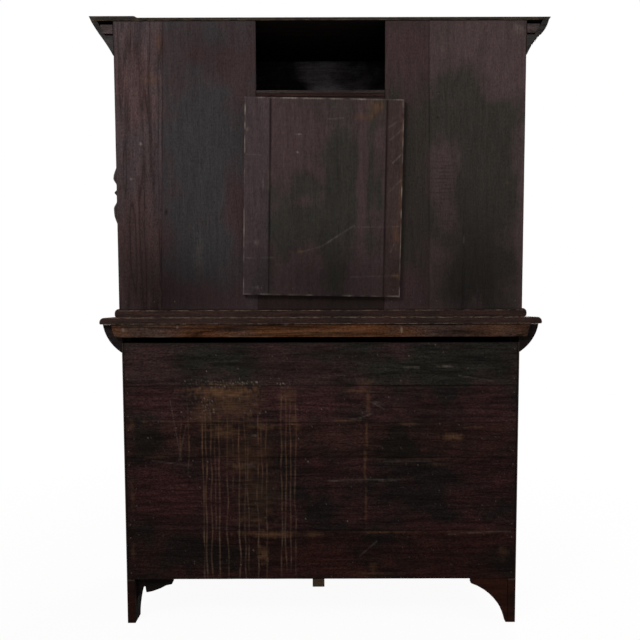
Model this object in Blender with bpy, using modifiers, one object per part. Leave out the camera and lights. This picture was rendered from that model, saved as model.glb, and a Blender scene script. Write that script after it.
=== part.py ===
"""A two-stage sideboard in dark-stained oak: a cupboard base with a narrower hutch standing on it.

The front faces -Y and the boarded back faces +Y. The origin is on the floor under the middle of the
whole piece, +Z is up and sizes are in metres. "Left" and "right" are as seen from the front.
"""
import math

import bmesh
import bpy
from mathutils import Vector

# Driving dimensions: fits
FIT = 0.0003
ARRIS = 0.0012
PIN_PLAY = 0.0005
DOOR_GAP = 0.0025
DRAWER_GAP = 0.002

# Driving dimensions: base
BASE_WIDTH = 1.277
BASE_DEPTH = 0.500
BASE_HEIGHT = 1.0075
BASE_SIDE_THICKNESS = 0.026
BASE_CLEARANCE = 0.1475
BASE_BOTTOM_THICKNESS = 0.022
BASE_BACK_THICKNESS = 0.016
BASE_BACK_LIP = 0.004
BASE_BACK_DROP = 0.060
BASE_BACK_BOARD_WIDTHS = (0.1620, 0.2417, 0.1147, 0.1204, 0.1402)
DRAWER_OPENING_HEIGHT = 0.144
DRAWER_BOARD_THICKNESS = 0.024
PARTITION_THICKNESS = 0.024

# Driving dimensions: feet and apron
FOOT_WIDTH = 0.060
BRACKET_REACH = 0.112
BRACKET_QUIRK = 0.006
APRON_WEB = 0.048
APRON_THICKNESS = 0.022
REAR_BRACKET_TOE = 0.005
REAR_BRACKET_THICKNESS = 0.018
REAR_BRACKET_REACH = 0.116
REAR_BRACKET_WEB = 0.0155
REAR_BRACKET_HOLLOW = 0.0235
REAR_BRACKET_RECESS = 0.020
BREAK_FOOT_DROP = 0.105
BROKEN_EDGE = (
    (0.0019, 0.0726), (0.0056, 0.0648), (0.0169, 0.0458), (0.0242, 0.0326), (0.0285, 0.0315),
    (0.0315, 0.0516), (0.0372, 0.0516), (0.0538, 0.0479), (0.0794, 0.0383), (0.0980, 0.0286),
    (0.1166, 0.0247), (0.1195, 0.0191))
BEARER_WIDTH = 0.039
BEARER_HEIGHT = 0.026
BEARER_OFFSET = 0.009

# Driving dimensions: waist
WAIST_THICKNESS = 0.021
WAIST_NOSE = 0.003
WAIST_ROUND_OVER = 0.015
WAIST_ROUND_UNDER = 0.004
WAIST_REAR_OVERHANG = 0.024
MOULDING_PROJECTION = 0.059
MOULDING_HEIGHT = 0.091
MOULDING_TOE = 0.016
MOULDING_FOOT = 0.012
MOULDING_SWELL = 0.008
MOULDING_RAIL_THICKNESS = 0.022
WAIST_RAIL_HEIGHT = 0.041
WAIST_RAIL_THICKNESS = 0.020
WAIST_RAIL_INSET = 0.030
WAIST_RAIL_CUT_BACK = 0.012

# Driving dimensions: hutch
HUTCH_WIDTH = 1.282
HUTCH_DEPTH = 0.360
HUTCH_HEIGHT = 0.928
HUTCH_SIDE_THICKNESS = 0.024
HUTCH_FLOOR_THICKNESS = 0.0275
HUTCH_FLOOR_NOSE = 0.014
HUTCH_FLOOR_ROUND_OVER = 0.0135
HUTCH_FLOOR_ROUND_UNDER = 0.008
HUTCH_FLOOR_RABBET = 0.005
HUTCH_TOP_THICKNESS = 0.010
HUTCH_TOP_OVERHANG = 0.007
HUTCH_TOP_BUILD_UP = 0.005
HUTCH_TOP_BUILD_UP_WIDTH = 0.150
HUTCH_BACK_THICKNESS = 0.016
HUTCH_BACK_PROUD = 0.012
HUTCH_OUTER_BOARD_RIGHT = 0.155
HUTCH_OUTER_BOARD_LEFT = 0.302
HUTCH_BOARD_TAPER_RIGHT = 0.0205
HUTCH_BOARD_TAPER_LEFT = 0.007
BACK_OPENING_WIDTH = 0.403
BACK_OPENING_OFFSET = -0.0015
HUTCH_SHELF_RISE = 0.688
HUTCH_SHELF_THICKNESS = 0.0195
HUTCH_SHELF_SETBACK = 0.045
FRIEZE_HEIGHT = 0.131
PATCH_WIDTH = 0.495
PATCH_HEIGHT = 0.611
PATCH_THICKNESS = 0.018
PATCH_OFFSET = -0.008
PATCH_DROP = 0.0095
PATCH_TILT = math.radians(-1.1)

# Driving dimensions: cornice
CORNICE_PROJECTION = 0.067
CORNICE_HEIGHT = 0.103
CORNICE_SWELL = 0.0055
CORNICE_HOLLOW = 0.0025
CORNICE_FLAT_SWELL = 0.001
CORNICE_TOP_EDGE = 0.018
CORNICE_BACK_RISE = 0.059
CORNICE_BACK_STEP = 0.024
GLUE_BLOCK_LENGTH = 0.060
GLUE_BLOCK_HEIGHT = 0.0264
GLUE_BLOCK_WIDTH = 0.038
GLUE_BLOCK_DROP = 0.0108

# Driving dimensions: doors and drawers
DOOR_THICKNESS = 0.022
STILE_WIDTH = 0.068
TOP_RAIL_WIDTH = 0.075
BOTTOM_RAIL_WIDTH = 0.092
FRAME_CHAMFER = 0.006
GROOVE_DEPTH = 0.009
TONGUE_THICKNESS = 0.008
TONGUE_FLAT = 0.010
FIELD_SLOPE = 0.032
FIELD_RISE = 0.0045
FIELD_STEP = 0.0015
MEETING_GAP = 0.003
MEETING_SLANT = 0.0028
PIN_RADIUS = 0.004
PIN_IN_DOOR = 0.022
PIN_IN_RAIL = 0.016
DRAWER_FRONT_THICKNESS = 0.020
DRAWER_FRONT_MARGIN = 0.012
DRAWER_FRONT_RELIEF = 0.003
DRAWER_BOX_LENGTH = 0.400
DRAWER_BOX_DROP = 0.018
DRAWER_WALL = 0.012
DRAWER_BOTTOM = 0.009
KNOB_RADIUS = 0.016
KNOB_NECK_RADIUS = 0.008
KNOB_FLANGE_RADIUS = 0.013
KNOB_LENGTH = 0.032
KNOB_CROWN_DEPTH = 0.0192
KNOB_CROWN_TURN = math.radians(140)
KNOB_NECK_TOP = 0.0096
KNOB_NECK_FOOT = 0.0058
KNOB_FLANGE_TOP = 0.0032
SPIGOT_RADIUS = 0.005
SPIGOT_LENGTH = 0.014
HUTCH_KNOB_RISE = 0.300
BASE_KNOB_RISE = 0.330

# Mesh fineness
WELD = 0.00001
SOFTENED_ANGLE = math.radians(50)
FLAT_ANGLE = math.radians(0.1)
ARC_STEPS = 8
BORE_SIDES = 16
KNOB_STEPS = 16
NOSE_SEGMENTS = 4

# Finishes: linear base colour, roughness, metallic
DARK_OAK = ((0.040, 0.028, 0.025), 0.55, 0.0)
BROWN_OAK = ((0.055, 0.030, 0.018), 0.60, 0.0)
BACK_PINE = ((0.028, 0.018, 0.015), 0.70, 0.0)
RAW_OAK = ((0.150, 0.090, 0.050), 0.75, 0.0)
KNOB_OAK = ((0.030, 0.019, 0.014), 0.40, 0.0)
BLACK_IRON = ((0.030, 0.028, 0.027), 0.60, 0.9)

# Levels and planes that follow from the driving dimensions
BASE_HALF = BASE_WIDTH / 2
BASE_INNER = BASE_HALF - BASE_SIDE_THICKNESS
HUTCH_HALF = HUTCH_WIDTH / 2
HUTCH_INNER = HUTCH_HALF - HUTCH_SIDE_THICKNESS
WAIST_OVERHANG = MOULDING_PROJECTION + WAIST_NOSE
REAR_REACH = max(HUTCH_BACK_PROUD + FIT + PATCH_THICKNESS, WAIST_REAR_OVERHANG)
TOTAL_DEPTH = WAIST_OVERHANG + BASE_DEPTH + REAR_REACH
BASE_REAR = TOTAL_DEPTH / 2 - REAR_REACH
BASE_FRONT = BASE_REAR - BASE_DEPTH
BASE_BACK_FACE = BASE_REAR - BASE_BACK_THICKNESS
HUTCH_REAR = BASE_REAR + HUTCH_BACK_PROUD
HUTCH_FRONT = HUTCH_REAR - HUTCH_DEPTH
HUTCH_BACK_FACE = HUTCH_REAR - HUTCH_BACK_THICKNESS

BASE_BOTTOM_TOP = BASE_CLEARANCE + BASE_BOTTOM_THICKNESS
WAIST_UNDER = BASE_HEIGHT - WAIST_THICKNESS
MOULDING_UNDER = WAIST_UNDER - FIT - MOULDING_HEIGHT
DRAWER_CEILING = MOULDING_UNDER - DRAWER_GAP
DRAWER_FLOOR = DRAWER_CEILING - DRAWER_OPENING_HEIGHT
DRAWER_BOARD_UNDER = DRAWER_FLOOR - DRAWER_BOARD_THICKNESS
BASE_BACK_TOP = WAIST_UNDER - BASE_BACK_DROP
HUTCH_BASE = BASE_HEIGHT + FIT
HUTCH_FLOOR_TOP = HUTCH_BASE + HUTCH_FLOOR_THICKNESS
HUTCH_BACK_LOW = HUTCH_FLOOR_TOP - HUTCH_FLOOR_RABBET + FIT
HUTCH_TOP = BASE_HEIGHT + HUTCH_HEIGHT
HUTCH_TOP_UNDER = HUTCH_TOP - HUTCH_TOP_THICKNESS
HUTCH_WALL_TOP = HUTCH_TOP_UNDER - FIT
SHELF_UNDER = BASE_HEIGHT + HUTCH_SHELF_RISE
SHELF_TOP = SHELF_UNDER + HUTCH_SHELF_THICKNESS
FRIEZE_UNDER = HUTCH_WALL_TOP - FRIEZE_HEIGHT

TURN_TO_XZ = (math.pi / 2, 0.0, 0.0)
TURN_TO_YZ = (math.pi / 2, 0.0, math.pi / 2)
SIDES = (("left", -1), ("right", 1))


def new_collection(name):
    collection = bpy.data.collections.new(name)
    bpy.context.scene.collection.children.link(collection)
    return collection


def add_object(name, mesh, collection):
    obj = bpy.data.objects.new(name, mesh)
    collection.objects.link(obj)
    return obj


def paint(obj, finish):
    """Give an object a material of its own."""
    colour, roughness, metallic = finish
    material = bpy.data.materials.new(obj.name + "_finish")
    material.use_nodes = True
    shader = material.node_tree.nodes["Principled BSDF"]
    shader.inputs["Base Color"].default_value = (*colour, 1.0)
    shader.inputs["Roughness"].default_value = roughness
    shader.inputs["Metallic"].default_value = metallic
    obj.data.materials.clear()
    obj.data.materials.append(material)


def soften(obj):
    """Take the sharp arris off every edge of a board."""
    bevel = obj.modifiers.new("arris", 'BEVEL')
    bevel.width = ARRIS
    bevel.segments = 1
    bevel.limit_method = 'ANGLE'
    bevel.angle_limit = SOFTENED_ANGLE


def box_bmesh(low, high):
    """A box between two corners, in its own frame about its middle, and that middle."""
    size = [b - a for a, b in zip(low, high)]
    middle = [(a + b) / 2 for a, b in zip(low, high)]
    bm = bmesh.new()
    bmesh.ops.create_cube(bm, size=1.0)
    bmesh.ops.scale(bm, vec=size, verts=bm.verts)
    return bm, middle


def bmesh_object(name, bm, collection, middle):
    mesh = bpy.data.meshes.new(name)
    bm.to_mesh(mesh)
    bm.free()
    obj = add_object(name, mesh, collection)
    obj.location = middle
    return obj


def board(name, low, high, finish):
    """A straight sawn board between two opposite corners."""
    bm, middle = box_bmesh(low, high)
    obj = bmesh_object(name, bm, PARTS, middle)
    soften(obj)
    paint(obj, finish)
    return obj


def bullnosed_board(name, low, high, over, under, finish):
    """A board whose front and two end edges are rounded by two radii, above and below. Its rear is square."""
    bm, middle = box_bmesh(low, high)
    rear = (high[1] - low[1]) / 2
    top = (high[2] - low[2]) / 2
    for level, radius in ((top, over), (-top, under)):
        round_edges = []
        for edge in bm.edges:
            start, end = (vert.co for vert in edge.verts)
            on_level = abs(start.z - level) < WELD and abs(end.z - level) < WELD
            at_rear = start.y > rear - FIT and end.y > rear - FIT
            if on_level and not at_rear:
                round_edges.append(edge)
        bmesh.ops.bevel(
            bm, geom=round_edges, offset=radius, segments=NOSE_SEGMENTS, profile=0.5, affect='EDGES',
            material=-1)
    obj = bmesh_object(name, bm, PARTS, middle)
    paint(obj, finish)
    return obj


def prism(name, outline, thickness, turn, place, collection):
    """A flat outline with a thickness: drawn as a filled 2D curve, then made a welded mesh."""
    curve = bpy.data.curves.new(name + "_outline", 'CURVE')
    curve.dimensions = '2D'
    curve.fill_mode = 'BOTH'
    curve.extrude = thickness / 2
    spline = curve.splines.new('POLY')
    spline.points.add(len(outline) - 1)
    for point, (across, along) in zip(spline.points, outline):
        point.co = (across, along, 0.0, 1.0)
    spline.use_cyclic_u = True
    drawn = add_object(name + "_outline", curve, collection)
    evaluated = drawn.evaluated_get(bpy.context.evaluated_depsgraph_get())
    mesh = bpy.data.meshes.new_from_object(evaluated)
    bpy.data.objects.remove(drawn)
    bm = bmesh.new()
    bm.from_mesh(mesh)
    bmesh.ops.remove_doubles(bm, verts=bm.verts, dist=WELD)
    bmesh.ops.dissolve_limit(bm, angle_limit=FLAT_ANGLE, verts=bm.verts, edges=bm.edges)
    bmesh.ops.recalc_face_normals(bm, faces=bm.faces)
    bm.to_mesh(mesh)
    bm.free()
    mesh.name = name
    obj = add_object(name, mesh, collection)
    obj.rotation_euler = turn
    obj.location = place
    return obj


def profile_board(name, outline, span, turn, finish):
    """A prism that runs from span[0] to span[1] along the axis its turn leaves free."""
    middle = (span[0] + span[1]) / 2
    place = {TURN_TO_XZ: (0.0, middle, 0.0), TURN_TO_YZ: (middle, 0.0, 0.0)}.get(turn, (0.0, 0.0, middle))
    obj = prism(name, outline, span[1] - span[0], turn, place, PARTS)
    paint(obj, finish)
    return obj


def as_cutter(obj):
    obj.hide_render = True
    obj.display_type = 'WIRE'
    return obj


def box_cutter(name, low, high):
    bm, middle = box_bmesh(low, high)
    return as_cutter(bmesh_object(name, bm, CUTTERS, middle))


def rod_bmesh(radius, length):
    bm = bmesh.new()
    bmesh.ops.create_cone(
        bm, cap_ends=True, segments=BORE_SIDES, radius1=radius, radius2=radius, depth=length)
    return bm


def bore_cutter(name, centre, radius, length, along_y=False):
    obj = as_cutter(bmesh_object(name, rod_bmesh(radius, length), CUTTERS, centre))
    if along_y:
        obj.rotation_euler = TURN_TO_XZ
    return obj


def combine(target, other, operation):
    boolean = target.modifiers.new(other.name, 'BOOLEAN')
    boolean.operation = operation
    boolean.solver = 'EXACT'
    boolean.object = other


def mitre(obj, point, normal):
    """Saw off what lies on the normal's side of a plane, and close the cut."""
    bpy.context.view_layer.update()
    to_local = obj.matrix_world.inverted()
    local_normal = (to_local.to_3x3() @ Vector(normal)).normalized()
    bm = bmesh.new()
    bm.from_mesh(obj.data)
    geometry = bm.verts[:] + bm.edges[:] + bm.faces[:]
    cut = bmesh.ops.bisect_plane(
        bm, geom=geometry, plane_co=to_local @ Vector(point), plane_no=local_normal, clear_outer=True)
    rim = [item for item in cut["geom_cut"] if isinstance(item, bmesh.types.BMEdge)]
    bmesh.ops.holes_fill(bm, edges=rim, sides=0)
    bmesh.ops.recalc_face_normals(bm, faces=bm.faces)
    bm.to_mesh(obj.data)
    bm.free()


def swollen(start, end, swell, steps=ARC_STEPS):
    """Points of the circular arc from start to end that stands off its chord by swell, which is to the left
    on the way from start to end, and to the right when swell is negative."""
    (u0, v0), (u1, v1) = start, end
    chord = math.hypot(u1 - u0, v1 - v0)
    normal = (-(v1 - v0) / chord, (u1 - u0) / chord)
    radius = (chord * chord / 4 + swell * swell) / (2 * abs(swell))
    points = []
    for step in range(steps + 1):
        share = step / steps
        from_middle = (share - 0.5) * chord
        rise = math.sqrt(radius * radius - from_middle * from_middle) - (radius - abs(swell))
        rise = math.copysign(rise, swell)
        points.append((u0 + share * (u1 - u0) + normal[0] * rise, v0 + share * (v1 - v0) + normal[1] * rise))
    return points


def bracket_curve(foot, inward, rise):
    """The quarter ellipse of a bracket foot, from the floor at foot up to its quirk."""
    points = []
    for step in range(ARC_STEPS + 1):
        angle = math.pi / 2 * step / ARC_STEPS
        points.append((foot + inward * BRACKET_REACH * (1 - math.cos(angle)), rise * math.sin(angle)))
    points.append((foot + inward * (BRACKET_REACH + BRACKET_QUIRK), rise))
    return points


def mirrored(outline, side):
    return [(side * u, v) for u, v in outline]


def arched_outline(low_end, high_end, top):
    """A board on edge that stands on two bracket feet."""
    web_level = BASE_CLEARANCE - APRON_WEB
    rise = web_level - BRACKET_QUIRK
    low_foot = bracket_curve(low_end + FOOT_WIDTH, 1, rise)
    high_foot = bracket_curve(high_end - FOOT_WIDTH, -1, rise)
    outline = [(low_end, 0.0)] + low_foot
    outline.append((low_foot[-1][0], web_level))
    outline.append((high_foot[-1][0], web_level))
    outline += reversed(high_foot)
    outline += [(high_end, 0.0), (high_end, top), (low_end, top)]
    return outline


def make_base_sides():
    outline = arched_outline(BASE_FRONT, BASE_REAR, WAIST_UNDER - FIT)
    for name, side in SIDES:
        span = sorted((side * BASE_INNER, side * BASE_HALF))
        obj = profile_board("base_side_" + name, outline, span, TURN_TO_YZ, DARK_OAK)
        soften(obj)
        rabbet = sorted((side * (BASE_INNER - FIT), side * (BASE_HALF - BASE_BACK_LIP)))
        cutter = box_cutter(
            "base_rabbet_" + name,
            (rabbet[0], BASE_BACK_FACE - FIT, BASE_CLEARANCE - FIT),
            (rabbet[1], BASE_REAR + BASE_BACK_LIP, BASE_HEIGHT))
        combine(obj, cutter, 'DIFFERENCE')


def make_base_boards():
    inner = BASE_INNER - FIT
    rear = BASE_BACK_FACE - FIT
    bottom = board(
        "base_bottom", (-inner, BASE_FRONT, BASE_CLEARANCE), (inner, rear, BASE_BOTTOM_TOP), DARK_OAK)
    carrier = board(
        "drawer_board", (-inner, BASE_FRONT, DRAWER_BOARD_UNDER), (inner, rear, DRAWER_FLOOR), DARK_OAK)
    board(
        "drawer_partition",
        (-PARTITION_THICKNESS / 2, BASE_FRONT, DRAWER_FLOOR + FIT),
        (PARTITION_THICKNESS / 2, rear, DRAWER_CEILING - FIT),
        DARK_OAK)
    board(
        "centre_bearer",
        (BEARER_OFFSET - BEARER_WIDTH / 2, BASE_FRONT + APRON_THICKNESS + FIT,
         BASE_CLEARANCE - FIT - BEARER_HEIGHT),
        (BEARER_OFFSET + BEARER_WIDTH / 2, BASE_REAR, BASE_CLEARANCE - FIT),
        RAW_OAK)
    apron = arched_outline(-inner, inner, BASE_CLEARANCE - FIT)
    span = (BASE_FRONT, BASE_FRONT + APRON_THICKNESS)
    soften(profile_board("front_apron", apron, span, TURN_TO_XZ, DARK_OAK))
    return bottom, carrier


def make_base_back():
    """Random-width boards laid level in the rabbets, filling the height of the back."""
    half = BASE_HALF - BASE_BACK_LIP - FIT
    height = BASE_BACK_TOP - BASE_CLEARANCE
    whole = sum(BASE_BACK_BOARD_WIDTHS)
    level = BASE_CLEARANCE
    for number, width in enumerate(BASE_BACK_BOARD_WIDTHS, start=1):
        share = height * width / whole
        board(
            f"base_back_board_{number}",
            (-half, BASE_BACK_FACE, level),
            (half, BASE_REAR, level + share - FIT),
            BACK_PINE)
        level += share


def make_rear_brackets():
    """Rear foot brackets. The right one sits deeper under the case, and its curve has broken away."""
    edge = BASE_INNER - FIT
    top = BASE_CLEARANCE - FIT
    web_level = BASE_CLEARANCE - REAR_BRACKET_WEB
    toe = edge - REAR_BRACKET_TOE
    tip = toe - REAR_BRACKET_REACH
    curve = swollen((toe, 0.0), (tip, web_level), -REAR_BRACKET_HOLLOW)
    outline = [(edge, top), (edge, 0.0)] + curve + [(tip, top)]
    left = profile_board(
        "rear_bracket_left", mirrored(outline, -1), (BASE_REAR - REAR_BRACKET_THICKNESS, BASE_REAR),
        TURN_TO_XZ, DARK_OAK)
    soften(left)
    rear = BASE_REAR - REAR_BRACKET_RECESS
    broken = [(edge, top), (edge, top - BREAK_FOOT_DROP)]
    broken += [(edge - inward, top - drop) for inward, drop in BROKEN_EDGE]
    broken.append((edge - BROKEN_EDGE[-1][0], top))
    profile_board("rear_bracket_right", broken, (rear - REAR_BRACKET_THICKNESS, rear), TURN_TO_XZ, BACK_PINE)


def moulding_profile():
    """The waist moulding's section, outwards from the case and upwards: a flattened ovolo on a fillet."""
    top = WAIST_UNDER - FIT
    ovolo = swollen(
        (MOULDING_PROJECTION, top), (MOULDING_TOE, MOULDING_UNDER + MOULDING_FOOT), MOULDING_SWELL)
    return [(0.0, top)] + ovolo + [(ARRIS, MOULDING_UNDER), (0.0, MOULDING_UNDER)]


def cornice_profile(swell, hollow):
    """The cornice's section: an ogee sprung off the wall, with the corner behind it left hollow."""
    top = HUTCH_WALL_TOP
    low = top - CORNICE_HEIGHT
    turn = (CORNICE_PROJECTION / 2, (top + low) / 2)
    ogee = swollen((CORNICE_PROJECTION, top), turn, swell) + swollen(turn, (ARRIS, low), -hollow)[1:]
    shelf = low + CORNICE_BACK_RISE
    back = [
        (0.0, low), (0.0, shelf), (CORNICE_BACK_STEP, shelf), (CORNICE_PROJECTION - CORNICE_TOP_EDGE, top)]
    return ogee + back


def make_mitred_run(name, section, half, front, rear, finish):
    """A moulding across the front of a case, mitred and returned along both sides. Section holds the
    outline of the left, front and right lengths, outwards from the case and upwards."""
    diagonal = math.sqrt(0.5)
    outer = half + FIT
    face = front - FIT
    length = [(face - u, v) for u, v in section["front"]]
    reach = outer + max(u for u, v in section["front"]) + FIT
    run = profile_board(name + "_front", length, (-reach, reach), TURN_TO_YZ, finish)
    for word, side in SIDES:
        corner = Vector((side * outer, face, 0.0))
        normal = Vector((side * diagonal, diagonal, 0.0))
        mitre(run, corner - normal * FIT / 2, normal)
        outline = [(side * (outer + u), v) for u, v in section[word]]
        start = face - max(u for u, v in section[word]) - FIT
        returned = profile_board(f"{name}_{word}", outline, (start, rear), TURN_TO_XZ, finish)
        mitre(returned, corner + normal * FIT / 2, -normal)
    return run


def make_waist():
    reach = BASE_HALF + WAIST_OVERHANG
    bullnosed_board(
        "waist_top",
        (-reach, BASE_FRONT - WAIST_OVERHANG, WAIST_UNDER),
        (reach, BASE_REAR + WAIST_REAR_OVERHANG, BASE_HEIGHT),
        WAIST_ROUND_OVER, WAIST_ROUND_UNDER, DARK_OAK)
    profile = moulding_profile()
    section = {"left": profile, "front": profile, "right": profile}
    front = make_mitred_run("waist_moulding", section, BASE_HALF, BASE_FRONT, BASE_REAR, DARK_OAK)
    rail = box_cutter(
        "waist_moulding_rail",
        (-BASE_INNER + FIT, BASE_FRONT - MOULDING_TOE / 2, DRAWER_CEILING),
        (BASE_INNER - FIT, BASE_FRONT + MOULDING_RAIL_THICKNESS, WAIST_UNDER - 2 * FIT))
    combine(front, rail, 'UNION')
    top_half = BASE_HALF + MOULDING_PROJECTION - WAIST_RAIL_INSET
    low_half = top_half - WAIST_RAIL_CUT_BACK
    high = WAIST_UNDER - FIT
    low = high - WAIST_RAIL_HEIGHT
    outline = [(-low_half, low), (low_half, low), (top_half, high), (-top_half, high)]
    span = (BASE_REAR + FIT, BASE_REAR + WAIST_RAIL_THICKNESS)
    soften(profile_board("waist_back_rail", outline, span, TURN_TO_XZ, BROWN_OAK))


def make_hutch_case():
    floor = bullnosed_board(
        "hutch_floor",
        (-HUTCH_HALF - HUTCH_FLOOR_NOSE, HUTCH_FRONT - HUTCH_FLOOR_NOSE, HUTCH_BASE),
        (HUTCH_HALF + HUTCH_FLOOR_NOSE, HUTCH_REAR, HUTCH_FLOOR_TOP),
        HUTCH_FLOOR_ROUND_OVER, HUTCH_FLOOR_ROUND_UNDER, DARK_OAK)
    rabbet = box_cutter(
        "hutch_floor_rabbet",
        (-HUTCH_HALF - FIT, HUTCH_BACK_FACE - FIT, HUTCH_FLOOR_TOP - HUTCH_FLOOR_RABBET),
        (HUTCH_HALF + FIT, HUTCH_REAR + HUTCH_FLOOR_NOSE, HUTCH_FLOOR_TOP + HUTCH_FLOOR_NOSE))
    combine(floor, rabbet, 'DIFFERENCE')
    wall_rear = HUTCH_BACK_FACE - FIT
    for name, side in SIDES:
        span = sorted((side * HUTCH_INNER, side * HUTCH_HALF))
        board(
            "hutch_side_" + name,
            (span[0], HUTCH_FRONT, HUTCH_FLOOR_TOP + FIT),
            (span[1], wall_rear, HUTCH_WALL_TOP),
            DARK_OAK)
    inner = HUTCH_INNER - FIT
    frieze = board(
        "frieze_rail", (-inner, HUTCH_FRONT, FRIEZE_UNDER),
        (inner, HUTCH_FRONT + DOOR_THICKNESS, HUTCH_WALL_TOP), DARK_OAK)
    tongue_low, tongue_high = (edge + way * ARRIS for edge, way in zip(opening_edges(), (1, -1)))
    tongue_rear = HUTCH_REAR - ARRIS
    shelf_front = HUTCH_FRONT + HUTCH_SHELF_SETBACK
    shelf = [
        (-inner, shelf_front), (inner, shelf_front), (inner, wall_rear), (tongue_high, wall_rear),
        (tongue_high, tongue_rear), (tongue_low, tongue_rear), (tongue_low, wall_rear), (-inner, wall_rear)]
    soften(profile_board("hutch_shelf", shelf, (SHELF_UNDER, SHELF_TOP), (0.0, 0.0, 0.0), BROWN_OAK))
    return floor, frieze


def opening_edges():
    return (BACK_OPENING_OFFSET - BACK_OPENING_WIDTH / 2, BACK_OPENING_OFFSET + BACK_OPENING_WIDTH / 2)


def make_hutch_back():
    """Upright boards nailed over the case, open in the middle above the shelf. The outer two taper."""
    opening_low, opening_high = opening_edges()
    left_seam = (
        -HUTCH_HALF + HUTCH_OUTER_BOARD_LEFT - HUTCH_BOARD_TAPER_LEFT, -HUTCH_HALF + HUTCH_OUTER_BOARD_LEFT)
    right_seam = (
        HUTCH_HALF - HUTCH_OUTER_BOARD_RIGHT + HUTCH_BOARD_TAPER_RIGHT, HUTCH_HALF - HUTCH_OUTER_BOARD_RIGHT)
    seams = {
        "outer_left": ((-HUTCH_HALF, -HUTCH_HALF), left_seam, HUTCH_WALL_TOP),
        "inner_left": (left_seam, (opening_low, opening_low), HUTCH_WALL_TOP),
        "centre": ((opening_low, opening_low), (opening_high, opening_high), SHELF_UNDER - FIT),
        "inner_right": ((opening_high, opening_high), right_seam, HUTCH_WALL_TOP),
        "outer_right": (right_seam, (HUTCH_HALF, HUTCH_HALF), HUTCH_WALL_TOP),
    }
    for word, (low, high, top) in seams.items():
        outline = [
            (low[0] + FIT / 2, HUTCH_BACK_LOW), (high[0] - FIT / 2, HUTCH_BACK_LOW),
            (high[1] - FIT / 2, top), (low[1] + FIT / 2, top)]
        soften(profile_board(
            "hutch_back_board_" + word, outline, (HUTCH_BACK_FACE, HUTCH_REAR), TURN_TO_XZ, BACK_PINE))
    patch = board(
        "patch_board",
        (-PATCH_WIDTH / 2, HUTCH_REAR + FIT, -PATCH_HEIGHT / 2),
        (PATCH_WIDTH / 2, HUTCH_REAR + FIT + PATCH_THICKNESS, PATCH_HEIGHT / 2),
        DARK_OAK)
    patch.location.x = PATCH_OFFSET
    patch.location.z = SHELF_UNDER - PATCH_DROP - PATCH_HEIGHT / 2
    patch.rotation_euler.y = PATCH_TILT


def make_cornice():
    """The mitred ogee cornice. The right return is a flatter, plainer length than the other two."""
    ogee = cornice_profile(CORNICE_SWELL, CORNICE_HOLLOW)
    plain = cornice_profile(CORNICE_FLAT_SWELL, CORNICE_FLAT_SWELL)
    section = {"left": ogee, "front": ogee, "right": plain}
    make_mitred_run("cornice", section, HUTCH_HALF, HUTCH_FRONT, HUTCH_REAR, DARK_OAK)
    high = HUTCH_WALL_TOP - GLUE_BLOCK_DROP
    for word, side in SIDES:
        reach = sorted((side * (HUTCH_HALF + ARRIS), side * (HUTCH_HALF + ARRIS + GLUE_BLOCK_WIDTH)))
        block = box_cutter(
            "glue_block_" + word,
            (reach[0], HUTCH_REAR - GLUE_BLOCK_LENGTH, high - GLUE_BLOCK_HEIGHT),
            (reach[1], HUTCH_REAR - ARRIS, high))
        combine(bpy.data.objects["cornice_" + word], block, 'UNION')
    under_edge = HUTCH_HALF + FIT + CORNICE_PROJECTION
    edge = under_edge + HUTCH_TOP_OVERHANG
    step = edge - HUTCH_TOP_BUILD_UP_WIDTH
    raised = HUTCH_TOP + HUTCH_TOP_BUILD_UP
    outline = [
        (-under_edge, HUTCH_TOP_UNDER), (under_edge, HUTCH_TOP_UNDER), (edge, raised),
        (step + 2 * HUTCH_TOP_BUILD_UP, raised), (step, HUTCH_TOP), (-edge, HUTCH_TOP)]
    front = HUTCH_FRONT - FIT - CORNICE_PROJECTION - HUTCH_TOP_OVERHANG
    soften(profile_board("hutch_top", outline, (front, HUTCH_REAR), TURN_TO_XZ, DARK_OAK))


def knob_mesh():
    """A turned knob's half outline, from the crown of its face down to the end of its spigot."""
    crown = KNOB_LENGTH
    outline = []
    for step in range(ARC_STEPS + 1):
        angle = KNOB_CROWN_TURN * step / ARC_STEPS
        outline.append((KNOB_RADIUS * math.sin(angle), crown - KNOB_CROWN_DEPTH / 2 * (1 - math.cos(angle))))
    outline += [
        (KNOB_NECK_RADIUS, KNOB_NECK_TOP), (KNOB_NECK_RADIUS, KNOB_NECK_FOOT),
        (KNOB_FLANGE_RADIUS, KNOB_FLANGE_TOP), (KNOB_FLANGE_RADIUS, FIT),
        (SPIGOT_RADIUS, FIT), (SPIGOT_RADIUS, -SPIGOT_LENGTH), (0.0, -SPIGOT_LENGTH)]
    bm = bmesh.new()
    verts = [bm.verts.new((radius, 0.0, height)) for radius, height in outline]
    for upper, lower in zip(verts, verts[1:]):
        bm.edges.new((upper, lower))
    mesh = bpy.data.meshes.new("knob_outline")
    bm.to_mesh(mesh)
    bm.free()
    return mesh


def make_knob(name, place):
    """A knob on the face at place, with its axis along -Y."""
    obj = add_object(name, knob_mesh(), PARTS)
    obj.location = place
    obj.rotation_euler = TURN_TO_XZ
    turning = obj.modifiers.new("turning", 'SCREW')
    turning.axis = 'Z'
    turning.angle = 2 * math.pi
    turning.steps = KNOB_STEPS
    turning.render_steps = KNOB_STEPS
    turning.use_merge_vertices = True
    turning.merge_threshold = WELD
    turning.use_smooth_shade = True
    paint(obj, KNOB_OAK)
    return obj


def carry(pieces, name, place):
    """Parent the pieces of a moving part to an empty on its joint."""
    empty = bpy.data.objects.new(name, None)
    PARTS.objects.link(empty)
    empty.location = place
    bpy.context.view_layer.update()
    for piece in pieces:
        piece.parent = empty
        piece.matrix_parent_inverse = empty.matrix_world.inverted()


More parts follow.
